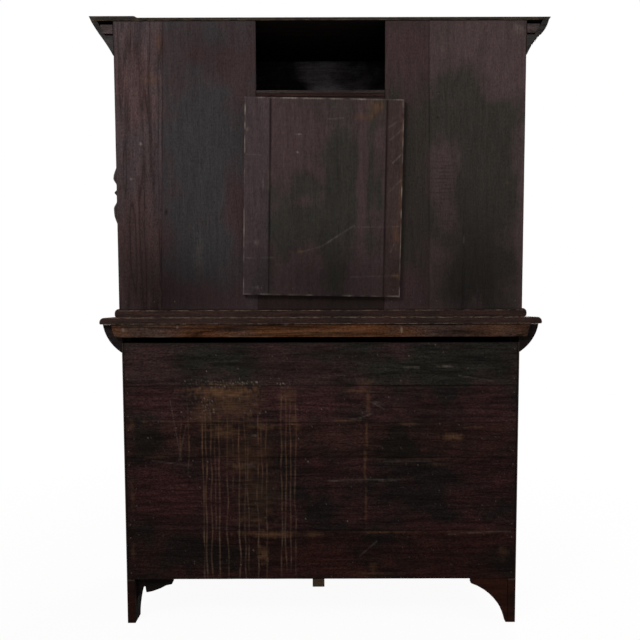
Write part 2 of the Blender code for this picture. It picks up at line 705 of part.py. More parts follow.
def door_outline(hinge, free, front, rear):
    """A door in plan: cut on the slant at its meeting edge, and round about the pin at its hanging edge."""
    radius = (rear - front) / 2
    middle = (rear + front) / 2
    side = math.copysign(1.0, hinge - free)
    outline = [(free + MEETING_SLANT / 2, front), (free - MEETING_SLANT / 2, rear)]
    for step in range(2 * ARC_STEPS + 1):
        angle = math.pi / 2 - math.pi * step / (2 * ARC_STEPS)
        outline.append((hinge + side * radius * math.cos(angle), middle + radius * math.sin(angle)))
    return outline


def make_panel(name, low, high, front):
    """A fielded panel: its thin tongue runs in the frame's groove, and its field stands forward."""
    tongue_front = front + (DOOR_THICKNESS - TONGUE_THICKNESS) / 2
    bm, middle = box_bmesh(
        (low[0], tongue_front, low[1]), (high[0], tongue_front + TONGUE_THICKNESS, high[1]))
    face = min(bm.faces, key=lambda item: item.calc_center_median().y)
    for inset, rise in ((TONGUE_FLAT + GROOVE_DEPTH, 0.0), (FIELD_SLOPE, FIELD_RISE), (ARRIS, FIELD_STEP)):
        bmesh.ops.inset_region(bm, faces=[face], thickness=inset, depth=rise)
    panel = bmesh_object(name, bm, PARTS, middle)
    paint(panel, DARK_OAK)
    return panel


def make_frame(name, outline, window, front, height):
    """Stiles and rails round a window, grooved for the panel and chamfered in front."""
    low, high = height
    frame = profile_board(name, outline, (low, high), (0.0, 0.0, 0.0), DARK_OAK)
    (window_low, window_high), (sill, head) = window
    rear = front + DOOR_THICKNESS
    middle = front + DOOR_THICKNESS / 2
    groove = TONGUE_THICKNESS / 2 + FIT
    through = box_cutter(
        name + "_window", (window_low, front - ARRIS, sill), (window_high, rear + ARRIS, head))
    combine(frame, through, 'DIFFERENCE')
    grooved = box_cutter(
        name + "_groove", (window_low - GROOVE_DEPTH, middle - groove, sill - GROOVE_DEPTH),
        (window_high + GROOVE_DEPTH, middle + groove, head + GROOVE_DEPTH))
    combine(frame, grooved, 'DIFFERENCE')
    bm, place = box_bmesh(
        (window_low - ARRIS, front - ARRIS, sill - ARRIS),
        (window_high + ARRIS, front + FRAME_CHAMFER, head + ARRIS))
    for vert in bm.verts:
        if vert.co.y < 0.0:
            vert.co.x += math.copysign(FRAME_CHAMFER, vert.co.x)
            vert.co.z += math.copysign(FRAME_CHAMFER, vert.co.z)
    chamfer = as_cutter(bmesh_object(name + "_chamfer", bm, CUTTERS, place))
    combine(frame, chamfer, 'DIFFERENCE')
    return frame


def make_door(name, side, case_inner, front, opening, knob_rise, carriers):
    """A framed door on a pin at each end of its hanging stile; the pins turn in the two carriers."""
    low = opening[0] + DOOR_GAP
    high = opening[1] - DOOR_GAP
    middle = front + DOOR_THICKNESS / 2
    hinge = side * (case_inner - DOOR_GAP - DOOR_THICKNESS / 2)
    free = side * MEETING_GAP / 2
    outline = door_outline(hinge, free, front, front + DOOR_THICKNESS)
    window_edges = sorted((free + side * STILE_WIDTH, hinge + side * (DOOR_THICKNESS / 2 - STILE_WIDTH)))
    window = (window_edges, (low + BOTTOM_RAIL_WIDTH, high - TOP_RAIL_WIDTH))
    frame = make_frame(name + "_frame", outline, window, front, (low, high))
    spread = GROOVE_DEPTH - ARRIS
    panel = make_panel(
        name + "_panel",
        (window[0][0] - spread, window[1][0] - spread), (window[0][1] + spread, window[1][1] + spread), front)
    knob_place = (free + side * STILE_WIDTH / 2, front, low + knob_rise)
    knob = make_knob(name + "_knob", knob_place)
    spigot_length = SPIGOT_LENGTH + ARRIS
    spigot_hole = bore_cutter(
        name + "_spigot_hole", (knob_place[0], front + (spigot_length - ARRIS) / 2, knob_place[2]),
        SPIGOT_RADIUS + FIT, spigot_length + ARRIS, along_y=True)
    combine(frame, spigot_hole, 'DIFFERENCE')
    pieces = [frame, panel, knob]
    for word, end, way, carrier in (("top", high, 1, carriers[1]), ("bottom", low, -1, carriers[0])):
        inner_end = end - way * PIN_IN_DOOR
        outer_end = end + way * (DOOR_GAP + PIN_IN_RAIL)
        centre = (hinge, middle, (inner_end + outer_end) / 2)
        length = abs(outer_end - inner_end)
        pin = bmesh_object(f"{name}_pin_{word}", rod_bmesh(PIN_RADIUS, length), PARTS, centre)
        paint(pin, BLACK_IRON)
        door_bore = bore_cutter(
            f"{name}_bore_{word}", (hinge, middle, end), PIN_RADIUS + FIT, 2 * (PIN_IN_DOOR + FIT))
        combine(frame, door_bore, 'DIFFERENCE')
        seat = end + way * DOOR_GAP
        rail_bore = bore_cutter(
            f"{name}_seat_{word}", (hinge, middle, seat), PIN_RADIUS + PIN_PLAY, 2 * (PIN_IN_RAIL + FIT))
        combine(carrier, rail_bore, 'DIFFERENCE')
        pieces.append(pin)
    carry(pieces, name + "_hinge", (hinge, middle, low))


def make_drawer(name, side):
    """A drawer: a relieved front with a knob, and behind it a box open at the top."""
    edges = sorted((side * (PARTITION_THICKNESS / 2 + DRAWER_GAP), side * (BASE_INNER - DRAWER_GAP)))
    low = DRAWER_FLOOR + FIT
    front_top = DRAWER_CEILING - DRAWER_GAP
    box_front = BASE_FRONT + DRAWER_FRONT_THICKNESS + FIT
    box_rear = box_front + DRAWER_BOX_LENGTH
    box_top = front_top - DRAWER_BOX_DROP
    bm, middle = box_bmesh(
        (edges[0], BASE_FRONT + DRAWER_FRONT_RELIEF, low),
        (edges[1], BASE_FRONT + DRAWER_FRONT_THICKNESS, front_top))
    face = min(bm.faces, key=lambda item: item.calc_center_median().y)
    bmesh.ops.inset_region(bm, faces=[face], thickness=DRAWER_FRONT_MARGIN, depth=DRAWER_FRONT_RELIEF)
    front = bmesh_object(name + "_front", bm, PARTS, middle)
    paint(front, DARK_OAK)
    bm, middle = box_bmesh((edges[0], box_front, low), (edges[1], box_rear, box_top))
    box = bmesh_object(name + "_box", bm, PARTS, middle)
    paint(box, RAW_OAK)
    pocket = box_cutter(
        name + "_pocket",
        (edges[0] + DRAWER_WALL, box_front - DRAWER_WALL, low + DRAWER_BOTTOM),
        (edges[1] - DRAWER_WALL, box_rear - DRAWER_WALL, box_top + DRAWER_WALL))
    combine(box, pocket, 'DIFFERENCE')
    knob_place = ((edges[0] + edges[1]) / 2, BASE_FRONT, (low + front_top) / 2)
    knob = make_knob(name + "_knob", knob_place)
    spigot_hole = bore_cutter(
        name + "_spigot_hole", (knob_place[0], BASE_FRONT + SPIGOT_LENGTH / 2, knob_place[2]),
        SPIGOT_RADIUS + FIT, SPIGOT_LENGTH + 2 * ARRIS, along_y=True)
    combine(front, spigot_hole, 'DIFFERENCE')
    carry([front, box, knob], name + "_slide", (knob_place[0], BASE_FRONT, low))


def make_sideboard():
    make_base_sides()
    bottom, carrier = make_base_boards()
    make_base_back()
    make_rear_brackets()
    make_waist()
    floor, frieze = make_hutch_case()
    make_hutch_back()
    make_cornice()
    base_opening = (BASE_BOTTOM_TOP, DRAWER_BOARD_UNDER)
    hutch_opening = (HUTCH_FLOOR_TOP, FRIEZE_UNDER)
    for word, side in SIDES:
        make_drawer("drawer_" + word, side)
        make_door(
            "base_door_" + word, side, BASE_INNER, BASE_FRONT, base_opening, BASE_KNOB_RISE,
            (bottom, carrier))
        make_door(
            "hutch_door_" + word, side, HUTCH_INNER, HUTCH_FRONT, hutch_opening, HUTCH_KNOB_RISE,
            (floor, frieze))


for old in list(bpy.data.objects):
    bpy.data.objects.remove(old)
PARTS = new_collection("sideboard")
CUTTERS = new_collection("cutters")
make_sideboard()
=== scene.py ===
# %% [markdown]
# # The back of an old oak sideboard
# This lesson dresses a finished CAD model of a two-stage sideboard: a cupboard base with a hutch on it,
# made of oak that was stained nearly black. The picture shows its back, so the rough boards get the
# most care. The frame gives every solid in metres in one frame: the front faces -Y, the boarded back
# +Y, and Z is up.

# %% Load the frame
import math

import bmesh
import bpy
from mathutils import Matrix, Vector, noise


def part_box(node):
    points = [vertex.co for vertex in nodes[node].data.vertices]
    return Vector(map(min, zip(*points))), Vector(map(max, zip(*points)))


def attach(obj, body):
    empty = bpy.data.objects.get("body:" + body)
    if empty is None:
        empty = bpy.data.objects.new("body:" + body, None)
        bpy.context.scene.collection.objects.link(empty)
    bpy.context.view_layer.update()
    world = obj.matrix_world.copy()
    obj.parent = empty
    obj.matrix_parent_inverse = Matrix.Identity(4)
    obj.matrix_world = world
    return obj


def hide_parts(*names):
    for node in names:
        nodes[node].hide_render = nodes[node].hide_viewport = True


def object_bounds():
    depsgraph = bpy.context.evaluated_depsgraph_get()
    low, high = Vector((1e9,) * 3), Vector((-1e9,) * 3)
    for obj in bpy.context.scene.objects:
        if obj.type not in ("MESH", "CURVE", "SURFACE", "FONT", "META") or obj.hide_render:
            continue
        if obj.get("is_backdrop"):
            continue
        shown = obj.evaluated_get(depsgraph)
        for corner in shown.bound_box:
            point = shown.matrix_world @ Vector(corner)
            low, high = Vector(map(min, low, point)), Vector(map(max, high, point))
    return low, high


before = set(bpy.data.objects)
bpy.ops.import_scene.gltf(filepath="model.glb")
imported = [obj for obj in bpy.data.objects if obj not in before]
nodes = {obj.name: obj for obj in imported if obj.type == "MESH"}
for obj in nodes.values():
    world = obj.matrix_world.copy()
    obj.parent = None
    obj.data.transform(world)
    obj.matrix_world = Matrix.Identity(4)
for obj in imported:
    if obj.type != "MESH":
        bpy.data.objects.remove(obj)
cad_low, cad_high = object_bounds()
print("frame:", len(nodes), "solids, box", [round(v, 3) for v in cad_high - cad_low])

# %% [markdown]
# ## The camera
# The picture was taken square on to the back, from about two metres, at chest height and looking down a
# little. A 36 mm lens on a 36 mm sensor gives the same convergence of the sides. The frame is lifted by
# a small shift.

# %% Camera
CAMERA_PLACE = Vector((0.0022, 2.31435, 1.0643))
CAMERA_PITCH = math.radians(3.5625)
CAMERA_ROLL = math.radians(-0.15)
LENS = 36.0
FRAME_RISE = 0.03

camera_data = bpy.data.cameras.new("camera")
camera_data.lens = LENS
camera_data.sensor_width = LENS
camera_data.shift_y = FRAME_RISE
camera = bpy.data.objects.new("camera", camera_data)
turn_to_back = Matrix.Rotation(math.pi, 4, "Z")
look_down = Matrix.Rotation(math.pi / 2 - CAMERA_PITCH, 4, "X")
tip = Matrix.Rotation(CAMERA_ROLL, 4, "Z")
camera.matrix_world = Matrix.Translation(CAMERA_PLACE) @ turn_to_back @ look_down @ tip
bpy.context.scene.collection.objects.link(camera)
bpy.context.scene.camera = camera
bpy.context.scene.view_settings.view_transform = "Standard"
print("camera at", [round(v, 3) for v in CAMERA_PLACE])

# %% [markdown]
# ## Two helpers for materials
# Colours are picked as sRGB hex values, the way a paint chart gives them, and one function turns them
# linear. A second function adds any node: its keywords set properties, its inputs are linked or set, in
# order or by name, and it hands back the node's outputs. A Map Range takes a value, both ends of its
# range and both ends of the new one. A colour Mix has its share at 0, its colours at 6 and 7, and its
# result at 2.

# %% Material helpers
def linear(hex_colour):
    """An sRGB hex colour as the linear RGBA that Blender's sockets hold."""
    values = []
    for start in (1, 3, 5):
        share = int(hex_colour[start:start + 2], 16) / 255
        values.append(share / 12.92 if share <= 0.04045 else ((share + 0.055) / 1.055) ** 2.4)
    return (*values, 1.0)


def add_node(tree, kind, inputs=(), **settings):
    """Add a shader node, set its properties, link or set its inputs, and return its outputs."""
    node = tree.nodes.new("ShaderNode" + kind)
    for name, value in settings.items():
        setattr(node, name, value)
    for key, value in inputs.items() if isinstance(inputs, dict) else enumerate(inputs):
        if isinstance(value, bpy.types.NodeSocket):
            tree.links.new(value, node.inputs[key])
        else:
            node.inputs[key].default_value = value
    return node.outputs


WHITE = linear("#ffffff")
print("white is", WHITE)

# %% [markdown]
# ## Stage and light
# The picture has a plain white ground. The world is white where the camera or a gloss sees it, and a
# softer grey where it lights the wood. The floor does the same, but near the feet it keeps a share of
# plain paint, which holds the shadow. Further out that share fades away, so no horizon shows.

# %% World and floor
AMBIENT = 0.30
FLOOR_GLOW = 0.95
FLOOR_FADE = (1.0, 2.3)
FLOOR_HALF = 14.0


def seen_by(tree, *kinds):
    """1 for a ray of one of these kinds, 0 for any other."""
    rays = add_node(tree, "LightPath")
    seen = rays[kinds[0]]
    for kind in kinds[1:]:
        seen = add_node(tree, "Math", (seen, rays[kind]), operation="MAXIMUM")[0]
    return seen


world = bpy.data.worlds.new("studio")
world.use_nodes = True
bpy.context.scene.world = world
tree = world.node_tree
tree.nodes.clear()
seen = seen_by(tree, "Is Camera Ray", "Is Glossy Ray", "Is Transmission Ray")
lit = add_node(tree, "Background", {"Color": WHITE, "Strength": AMBIENT})[0]
white = add_node(tree, "Background", {"Color": WHITE, "Strength": 1.0})[0]
both = add_node(tree, "MixShader", (seen, lit, white))[0]
add_node(tree, "OutputWorld", {"Surface": both})

paper = bpy.data.materials.new("white_paper_floor")
paper.use_nodes = True
tree = paper.node_tree
tree.nodes.clear()
seen = seen_by(tree, "Is Camera Ray", "Is Glossy Ray")
place = add_node(tree, "TexCoord")["Object"]
far = add_node(tree, "VectorMath", (place,), operation="LENGTH")["Value"]
share = add_node(tree, "MapRange", (far, *FLOOR_FADE, FLOOR_GLOW, 1.0))[0]
glow = add_node(tree, "Math", (seen, share), operation="MULTIPLY")[0]
matt = add_node(tree, "BsdfDiffuse", {"Color": linear("#f4f4f2")})[0]
light = add_node(tree, "Emission", {"Color": WHITE, "Strength": 1.0})[0]
both = add_node(tree, "MixShader", (glow, matt, light))[0]
add_node(tree, "OutputMaterial", {"Surface": both})

bm = bmesh.new()
bmesh.ops.create_grid(bm, x_segments=8, y_segments=8, size=FLOOR_HALF)
floor_mesh = bpy.data.meshes.new("floor")
bm.to_mesh(floor_mesh)
bm.free()
floor_mesh.materials.append(paper)
floor = bpy.data.objects.new("floor", floor_mesh)
bpy.context.scene.collection.objects.link(floor)
floor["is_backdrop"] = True
print("floor", 2 * FLOOR_HALF, "m across")

# %% [markdown]
# The main lamp hangs high on the left of the picture, which is +X, so the patch throws its shadow right
# and down and the light falls off towards the feet. Two weaker lamps serve the sides and the front,
# which other views see.

# %% Lamps
def add_lamp(name, place, target, size, power):
    """A square soft lamp that hangs at a place and faces a target."""
    data = bpy.data.lights.new(name, "AREA")
    data.size = size
    data.energy = power
    lamp = bpy.data.objects.new(name, data)
    lamp.location = place
    lamp.rotation_euler = (Vector(target) - Vector(place)).to_track_quat("-Z", "Y").to_euler()
    bpy.context.scene.collection.objects.link(lamp)
    return lamp


add_lamp("lamp_high_left", (1.5, 2.4, 2.9), (0.0, 0.25, 1.35), 1.0, 52)
add_lamp("lamp_front", (-1.9, -3.0, 2.7), (0.0, -0.1, 1.0), 1.6, 85)
add_lamp("lamp_right_side", (-3.2, 1.2, 2.2), (-0.5, 0.0, 1.0), 1.4, 30)

# %% [markdown]
# ## Aged oak
# The real wood is oak under a thin black-brown stain, hand planed, never varnished behind. What the eye
# gets is a broken grain: fine fibres, arched rings where the saw met the growth, short dark pores, a
# mottle finer still, and on rough boards the chatter of the saw across the grain. Over it lies a cloudy
# patina, where the stain turned reddish in one place and greenish black in the next. Each of these is a
# noise stretched along the grain, and the chatter across it. The real fibres are under 1 mm wide, which
# no picture this small can show, so they are drawn about 5 mm wide. The rings come from folding the
# wide noise over itself.

# %% Grain sizes
GRAIN_SIZES = {
    "fibre": (0.0046, 0.060, 3.0),
    "figure": (0.050, 0.620, 1.5),
    "pore": (0.0030, 0.018, 1.0),
    "mottle": (0.0042, 0.0075, 2.0),
    "chatter": (0.0450, 0.0040, 2.0),
    "patina": (0.075, 0.110, 4.0),
    "dirt": (0.016, 0.022, 3.0),
}
RINGS = 11.0
TINT = 0.60
SPECK_SPACING = 0.042
SPECK_SIZE = 0.0022
SPECK_SHARE = 0.84
WEAR_RADIUS = 0.005
WOOD_IOR = 1.5
FIBRE_RANGE = (0.32, 0.62)
SHADE_RANGE = (0.23, 0.77)
MOTTLE_RANGE = (0.36, 0.64)
PORE_RANGE = (0.56, 0.74)
ARCH_WIDTH = 0.26
DIRT_RANGE = (0.40, 0.62)
EDGE_RANGE = (0.985, 0.86)
PORE_COLOUR = "#080505"
PORE_DEPTH = 0.6
SPECK_COLOUR = "#a9a298"
MARK_PAINTS = {"#5e432f": (0.30, 1.0), "#82756c": (0.30, 1.0), "#050303": (0.55, 0.82)}


def stretched(grain, width, length):
    """How often a streak of that width and length repeats along each axis."""
    repeats = [1 / width] * 3
    repeats["XYZ".index(grain)] = 1 / length
    return repeats


def grain_streaks(tree, place, grain):
    """A noise for each part of the grain, stretched along an axis."""
    streak = {}
    for part, (width, length, detail) in GRAIN_SIZES.items():
        spot = add_node(
            tree, "VectorMath", (place, stretched(grain, width, length)), operation="MULTIPLY")[0]
        streak[part] = add_node(
            tree, "TexNoise", {"Vector": spot, "Scale": 1.0, "Detail": detail, "Roughness": 0.6})[0]
    return streak


print("grain sizes in mm:", {part: round(1000 * sizes[0], 1) for part, sizes in GRAIN_SIZES.items()})

# %% [markdown]
# Marks, rubbed edges and specks are laid over the grain. Painted boards carry their marks as a colour
# attribute: red is ochre dirt, green is pale bruising, blue is black, and alpha leans the patina to its
# warm or cold colour. Rubbed edges come from the Bevel node: where the rounded normal leaves the true
# one, an edge is near. Specks are single cells of a Voronoi pattern.

# %% Aged oak
def aged_oak(name, warm, cold, grain, contrast=0.30, figure=0.30, fine=0.16, chatter=0.04, arches=0.0,
             pores=0.55, spread=0.22, roughness=0.66, gloss=0.03, wear=0.0, worn="#5a4636", painted=False,
             specks=0.0, relief=0.0006):
    """Stained oak with its grain along an axis. Painted boards also read their marks."""
    finish = bpy.data.materials.new(name)
    finish.use_nodes = True
    tree = finish.node_tree
    shader = tree.nodes["Principled BSDF"].inputs
    place = add_node(tree, "TexCoord")["Object"]
    streak = grain_streaks(tree, place, grain)
    rings = add_node(tree, "Math", (streak["figure"], RINGS), operation="MULTIPLY")[0]
    rings = add_node(tree, "Math", (rings, 1.0), operation="PINGPONG")[0]
    shade = add_node(tree, "Math", (rings, figure, streak["fibre"]), operation="MULTIPLY_ADD")[0]
    shades = [edge + figure / 2 for edge in SHADE_RANGE]
    tone = add_node(tree, "MapRange", (shade, *shades, 1 - contrast, 1 + contrast))[0]
    for part, swing in (("mottle", fine), ("chatter", chatter)):
        swung = add_node(tree, "MapRange", (streak[part], *MOTTLE_RANGE, 1 - swing, 1 + swing))[0]
        tone = add_node(tree, "Math", (tone, swung), operation="MULTIPLY")[0]
    lean, middle = streak["patina"], 0.5
    if painted:
        marks = add_node(tree, "Attribute", attribute_name="marks")
        lean = add_node(tree, "Math", (marks["Alpha"], TINT, lean), operation="MULTIPLY_ADD")[0]
        middle += TINT / 2
    cloud = add_node(tree, "MapRange", (lean, middle - spread, middle + spread))[0]
    colour = add_node(tree, "Mix", {0: cloud, 6: linear(cold), 7: linear(warm)}, data_type="RGBA")[2]
    colour = add_node(
        tree, "Mix", {0: 1.0, 6: colour, 7: tone}, data_type="RGBA", blend_type="MULTIPLY")[2]
    pored = add_node(tree, "MapRange", (streak["pore"], *PORE_RANGE, 0.0, pores))[0]
    arched = add_node(tree, "MapRange", (rings, ARCH_WIDTH, 0.0, 0.0, arches))[0]
    growth = add_node(tree, "Math", (pored, arched), operation="MAXIMUM")[0]
    layers = [(growth, PORE_COLOUR)]
    if painted:
        layers += mark_layers(tree, marks["Color"], streak["fibre"])
    if wear:
        broken = add_node(tree, "MapRange", (streak["dirt"], *DIRT_RANGE))[0]
        bare = add_node(tree, "Math", (rubbed(tree, wear), broken), operation="MULTIPLY")[0]
        layers.append((bare, worn))
    if specks:
        layers.append((speckled(tree, place, specks), SPECK_COLOUR))
    for share, paint in layers:
        colour = add_node(tree, "Mix", {0: share, 6: colour, 7: linear(paint)}, data_type="RGBA")[2]
    rough = add_node(tree, "MapRange", (shade, *shades, roughness + 0.10, roughness - 0.08))[0]
    height = add_node(tree, "Math", (growth, -PORE_DEPTH, shade), operation="MULTIPLY_ADD")[0]
    bumps = add_node(tree, "Bump", {"Height": height, "Strength": 0.5, "Distance": relief})[0]
    for socket, value in {"Base Color": colour, "Roughness": rough, "Normal": bumps}.items():
        tree.links.new(value, shader[socket])
    shader["IOR"].default_value = WOOD_IOR
    shader["Specular IOR Level"].default_value = gloss
    return finish


def mark_layers(tree, marks, fibre):
    """The board's painted marks as shares and colours, broken up by the fibres, the dark ones the least.
    """
    layers = []
    channels = add_node(tree, "SeparateColor", (marks,))
    for channel, (paint, strengths) in zip(channels, MARK_PAINTS.items()):
        ragged = add_node(tree, "MapRange", (fibre, *FIBRE_RANGE, *strengths))[0]
        layers.append((add_node(tree, "Math", (channel, ragged), operation="MULTIPLY")[0], paint))
    return layers


def rubbed(tree, wear):
    """How near an edge is, up to wear."""
    true_side = add_node(tree, "NewGeometry")["Normal"]
    rounded = add_node(tree, "Bevel", {"Radius": WEAR_RADIUS}, samples=4)[0]
    facing = add_node(tree, "VectorMath", (true_side, rounded), operation="DOT_PRODUCT")["Value"]
    return add_node(tree, "MapRange", (facing, *EDGE_RANGE, 0.0, wear))[0]


def speckled(tree, place, specks):
    """Small round specks of paint or plaster, one in some of the pattern's cells."""
    spots = add_node(tree, "TexVoronoi", {"Vector": place, "Scale": 1 / SPECK_SPACING})
    picked = add_node(tree, "Math", (spots["Color"], SPECK_SHARE), operation="GREATER_THAN")[0]
    reach = SPECK_SIZE / SPECK_SPACING
    near = add_node(tree, "MapRange", (spots["Distance"], reach, 0.0, 0.0, specks))[0]
    return add_node(tree, "Math", (near, picked), operation="MULTIPLY")[0]


print("marks are painted in", list(MARK_PAINTS))

# %% [markdown]
# ## The finishes
# One oak finish is made for each way the grain runs. The show wood of the case, doors and mouldings is
# a deep brown with a waxed, softly glossy skin and edges rubbed to lighter wood. Inside the cupboards
# it is sooty and dull. The inside of the drawers was never stained, and the waist rail at the back is
# an odd, browner board.

# %% Show wood, inside wood, brown wood and raw wood
show_oak = {axis: aged_oak(
    "waxed_dark_oak_" + axis.lower(), "#2c1d17", "#1d1613", axis, roughness=0.50, gloss=0.12, wear=0.40,
    worn="#4d3a2b")
    for axis in "XYZ"}
inside_oak = {axis: aged_oak(
    "sooty_inside_oak_" + axis.lower(), "#17110f", "#110e0d", axis, roughness=0.8, gloss=0.02)
    for axis in "XYZ"}
brown_oak = {axis: aged_oak(
    "brown_oak_" + axis.lower(), "#33261f", "#261d18", axis, contrast=0.34, wear=0.4, worn="#5f4832")
    for axis in "XYZ"}
raw_oak = {axis: aged_oak(
    "raw_oak_" + axis.lower(), "#8a6a48", "#745839", axis, contrast=0.20, fine=0.10, roughness=0.75)
    for axis in "XYZ"}
print("oak finishes:", [item.name for item in bpy.data.materials if "oak" in item.name][:12])

# %% [markdown]
# ## Forged iron
# The doors turn on iron pins and the boards are held by hand-made nails. Old iron is dark, rough and a
# little brown with rust, so a small noise mixes the two colours and roughens the rust.

# %% Forged iron
RUST_SIZE = 0.004
RUST_RANGE = (0.42, 0.66)
IRON_ROUGHNESS = (0.5, 0.85)
IRON_SHINE = (0.9, 0.15)

forged_iron = bpy.data.materials.new("forged_iron")
forged_iron.use_nodes = True
tree = forged_iron.node_tree
shader = tree.nodes["Principled BSDF"].inputs
place = add_node(tree, "TexCoord")["Object"]
scale = add_node(tree, "TexNoise", {"Vector": place, "Scale": 1 / RUST_SIZE, "Detail": 3.0})[0]
rust = add_node(tree, "MapRange", (scale, *RUST_RANGE))[0]
colour = add_node(tree, "Mix", {0: rust, 6: linear("#2c2a29"), 7: linear("#4a2f20")}, data_type="RGBA")[2]
rough = add_node(tree, "MapRange", (rust, 0.0, 1.0, *IRON_ROUGHNESS))[0]
bright = add_node(tree, "MapRange", (rust, 0.0, 1.0, *IRON_SHINE))[0]
dents = add_node(tree, "Bump", {"Height": scale, "Strength": 0.5, "Distance": 0.0004})[0]
sockets = {"Base Color": colour, "Roughness": rough, "Metallic": bright, "Normal": dents}
for socket, value in sockets.items():
    tree.links.new(value, shader[socket])
print("made", forged_iron.name)

# %% [markdown]
# ## From a bmesh to a piece
# Every new piece ends the same way: its faces are turned outwards and shaded smooth except across sharp
# edges, it gets its finish, it is parented to the empty of the body it moves with, and the solids it
# stands for are hidden.
# Many pieces start as a merged copy of their solid, because a solid comes as loose triangles. Sharp
# arrises are taken off with a bevel.

# %% Finish a piece
SHARP = math.radians(32)
WELD = 0.00002


def add_piece(name, bm, finishes, body, replaced=()):
    """Make the bmesh a piece that rides on a body and stands for the solids named in replaced."""
    bmesh.ops.recalc_face_normals(bm, faces=bm.faces)
    for face in bm.faces:
        face.smooth = True
    for edge in bm.edges:
        edge.smooth = edge.calc_face_angle(0.0) < SHARP
    mesh = bpy.data.meshes.new(name)
    bm.to_mesh(mesh)
    bm.free()
    for finish in finishes:
        mesh.materials.append(finish)
    piece = bpy.data.objects.new(name, mesh)
    bpy.context.scene.collection.objects.link(piece)
    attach(piece, body)
    if replaced:
        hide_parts(*replaced)
    return piece


def bevelled(bm, edges, offset, segments):
    """Take off edges, flat with one segment and round with more."""
    bmesh.ops.bevel(
        bm, geom=edges, offset=offset, segments=segments, profile=0.5, affect="EDGES", material=-1)


def merged_copy(node):
    """A bmesh of a solid with its loose triangles welded and its flat faces made whole."""
    bm = bmesh.new()
    bm.from_mesh(nodes[node].data)
    bmesh.ops.remove_doubles(bm, verts=bm.verts, dist=WELD)
    bmesh.ops.dissolve_limit(bm, angle_limit=math.radians(0.5), verts=bm.verts, edges=bm.edges)
    return bm


# %% [markdown]
# ## A hand-planed board with painted marks
# A back board is flat, but never quite: the plane left shallow waves, the edges are rubbed round, and
# cracks open along the grain. A cube can't hold that, so the rear face starts as a fine grid. Every
# point is pushed in by a little noise and more at the rim, and carries four painted values for the
# finish: ochre, pale, dark and the patina's lean. The grid is then extruded to the board's thickness,
# and the flat inner face is made one sooty face again.

# %% Planed boards
EASED = 0.0022
EASE_WIDTH = 0.0050
WAVE_DEPTH = 0.0009
WAVE_LENGTH = 0.11
RIM = 0.003


def noise_at(x, z, width, height, layer=0.0):
    """Smooth noise between about -1 and 1 whose blotches have that width and height."""
    return noise.noise(Vector((x / width, layer, z / height)))


def planed_board(foot, head, levels, faces, step, paint, crack=None):
    """A board between two levels: foot and head are its X edges there, faces its front and rear in Y."""
    bm = bmesh.new()
    columns = max(2, round((foot[1] - foot[0]) / step[0]))
    rows = max(2, round((levels[1] - levels[0]) / step[1]))
    bmesh.ops.create_grid(bm, x_segments=columns, y_segments=rows, size=0.5)
    marks = bm.verts.layers.float_color.new("marks")
    for vert in bm.verts:
        across, up = vert.co.x + 0.5, vert.co.y + 0.5
        low, high = (a + (b - a) * up for a, b in zip(foot, head))
        x = low + (high - low) * across
        z = levels[0] + (levels[1] - levels[0]) * up
        rim = min(x - low, high - x, z - levels[0], levels[1] - z)
        depth = WAVE_DEPTH * abs(noise_at(x, z, WAVE_LENGTH, WAVE_LENGTH))
        depth += EASED * max(0.0, 1 - rim / EASE_WIDTH) ** 2
        if crack:
            depth += crack(x, z)
        vert.co = (x, faces[1] - depth, z)
        vert[marks] = paint(x, z, rim)
    inner = bmesh.ops.extrude_face_region(bm, geom=bm.faces[:])["geom"]
    for item in inner:
        if isinstance(item, bmesh.types.BMVert):
            item.co.y = faces[0]
    back = [item for item in inner if isinstance(item, bmesh.types.BMFace)]
    for face in bmesh.ops.dissolve_faces(bm, faces=back)["region"]:
        face.material_index = 1
    return bm


def x_edges(node):
    """The X edges of a board at its lower and at its upper end."""
    low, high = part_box(node)
    middle = (low.z + high.z) / 2
    lower = [vert.co.x for vert in nodes[node].data.vertices if vert.co.z < middle]
    upper = [vert.co.x for vert in nodes[node].data.vertices if vert.co.z > middle]
    return (min(lower), max(lower)), (min(upper), max(upper))


def planed_piece(node, step, paint, finishes, crack=None):
    """A planed board in the place of a solid of the case."""
    low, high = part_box(node)
    bm = planed_board(*x_edges(node), (low.z, high.z), (low.y, high.y), step, paint, crack)
    add_piece(node + "_planed", bm, finishes, "case", [node])


print("edges eased by", 1000 * EASED, "mm")

# %% [markdown]
# ## Marks of use
# The marks are listed one by one, each as the X and Z of its middle, its reach along both, and a
# strength, in metres. A smear is an ellipse with an edge that noise breaks up. A cloud is a soft one,
# for the patina, for darker patches that are part grime and part painted shade, and for painted light;
# clouds add up. A run is a thin upright line where a liquid ran down and took the stain with it, given
# by its X, top, foot and strength. A scratch is a thin straight one between two ends. All are only
# values on the grid's points, and the finish turns them into colour.

# %% Smears, clouds, runs and scratches
SMEAR_END = 2.1
SMEAR_EDGE = 1.10
CLOUD_END = 5.0
RUN_WIDTH = 0.0017
RUN_FADE = 0.02
RUN_WAVER = 0.0048
SCRATCH_WIDTH = 0.0017


def clipped(value):
    """A value kept between 0 and 1."""
    return min(1.0, max(0.0, value))


def smear(x, z, middle_x, middle_z, width, height):
    """1 in the middle of a smear, 0 past its reach, ragged between."""
    far = math.hypot((x - middle_x) / width, (z - middle_z) / height)
    if far > SMEAR_END:
        return 0.0
    ragged = 0.55 * noise_at(x, z, 0.020, 0.012) + 0.45 * noise_at(x, z, 0.006, 0.016, 3.0)
    return clipped(SMEAR_EDGE - far + ragged)


def clouded(clouds, x, z):
    """The sum of the clouds at a point."""
    total = 0.0
    for middle_x, middle_z, width, height, strength in clouds:
        far = ((x - middle_x) / width) ** 2 + ((z - middle_z) / height) ** 2
        if far < CLOUD_END:
            total += strength * math.exp(-far)
    return total


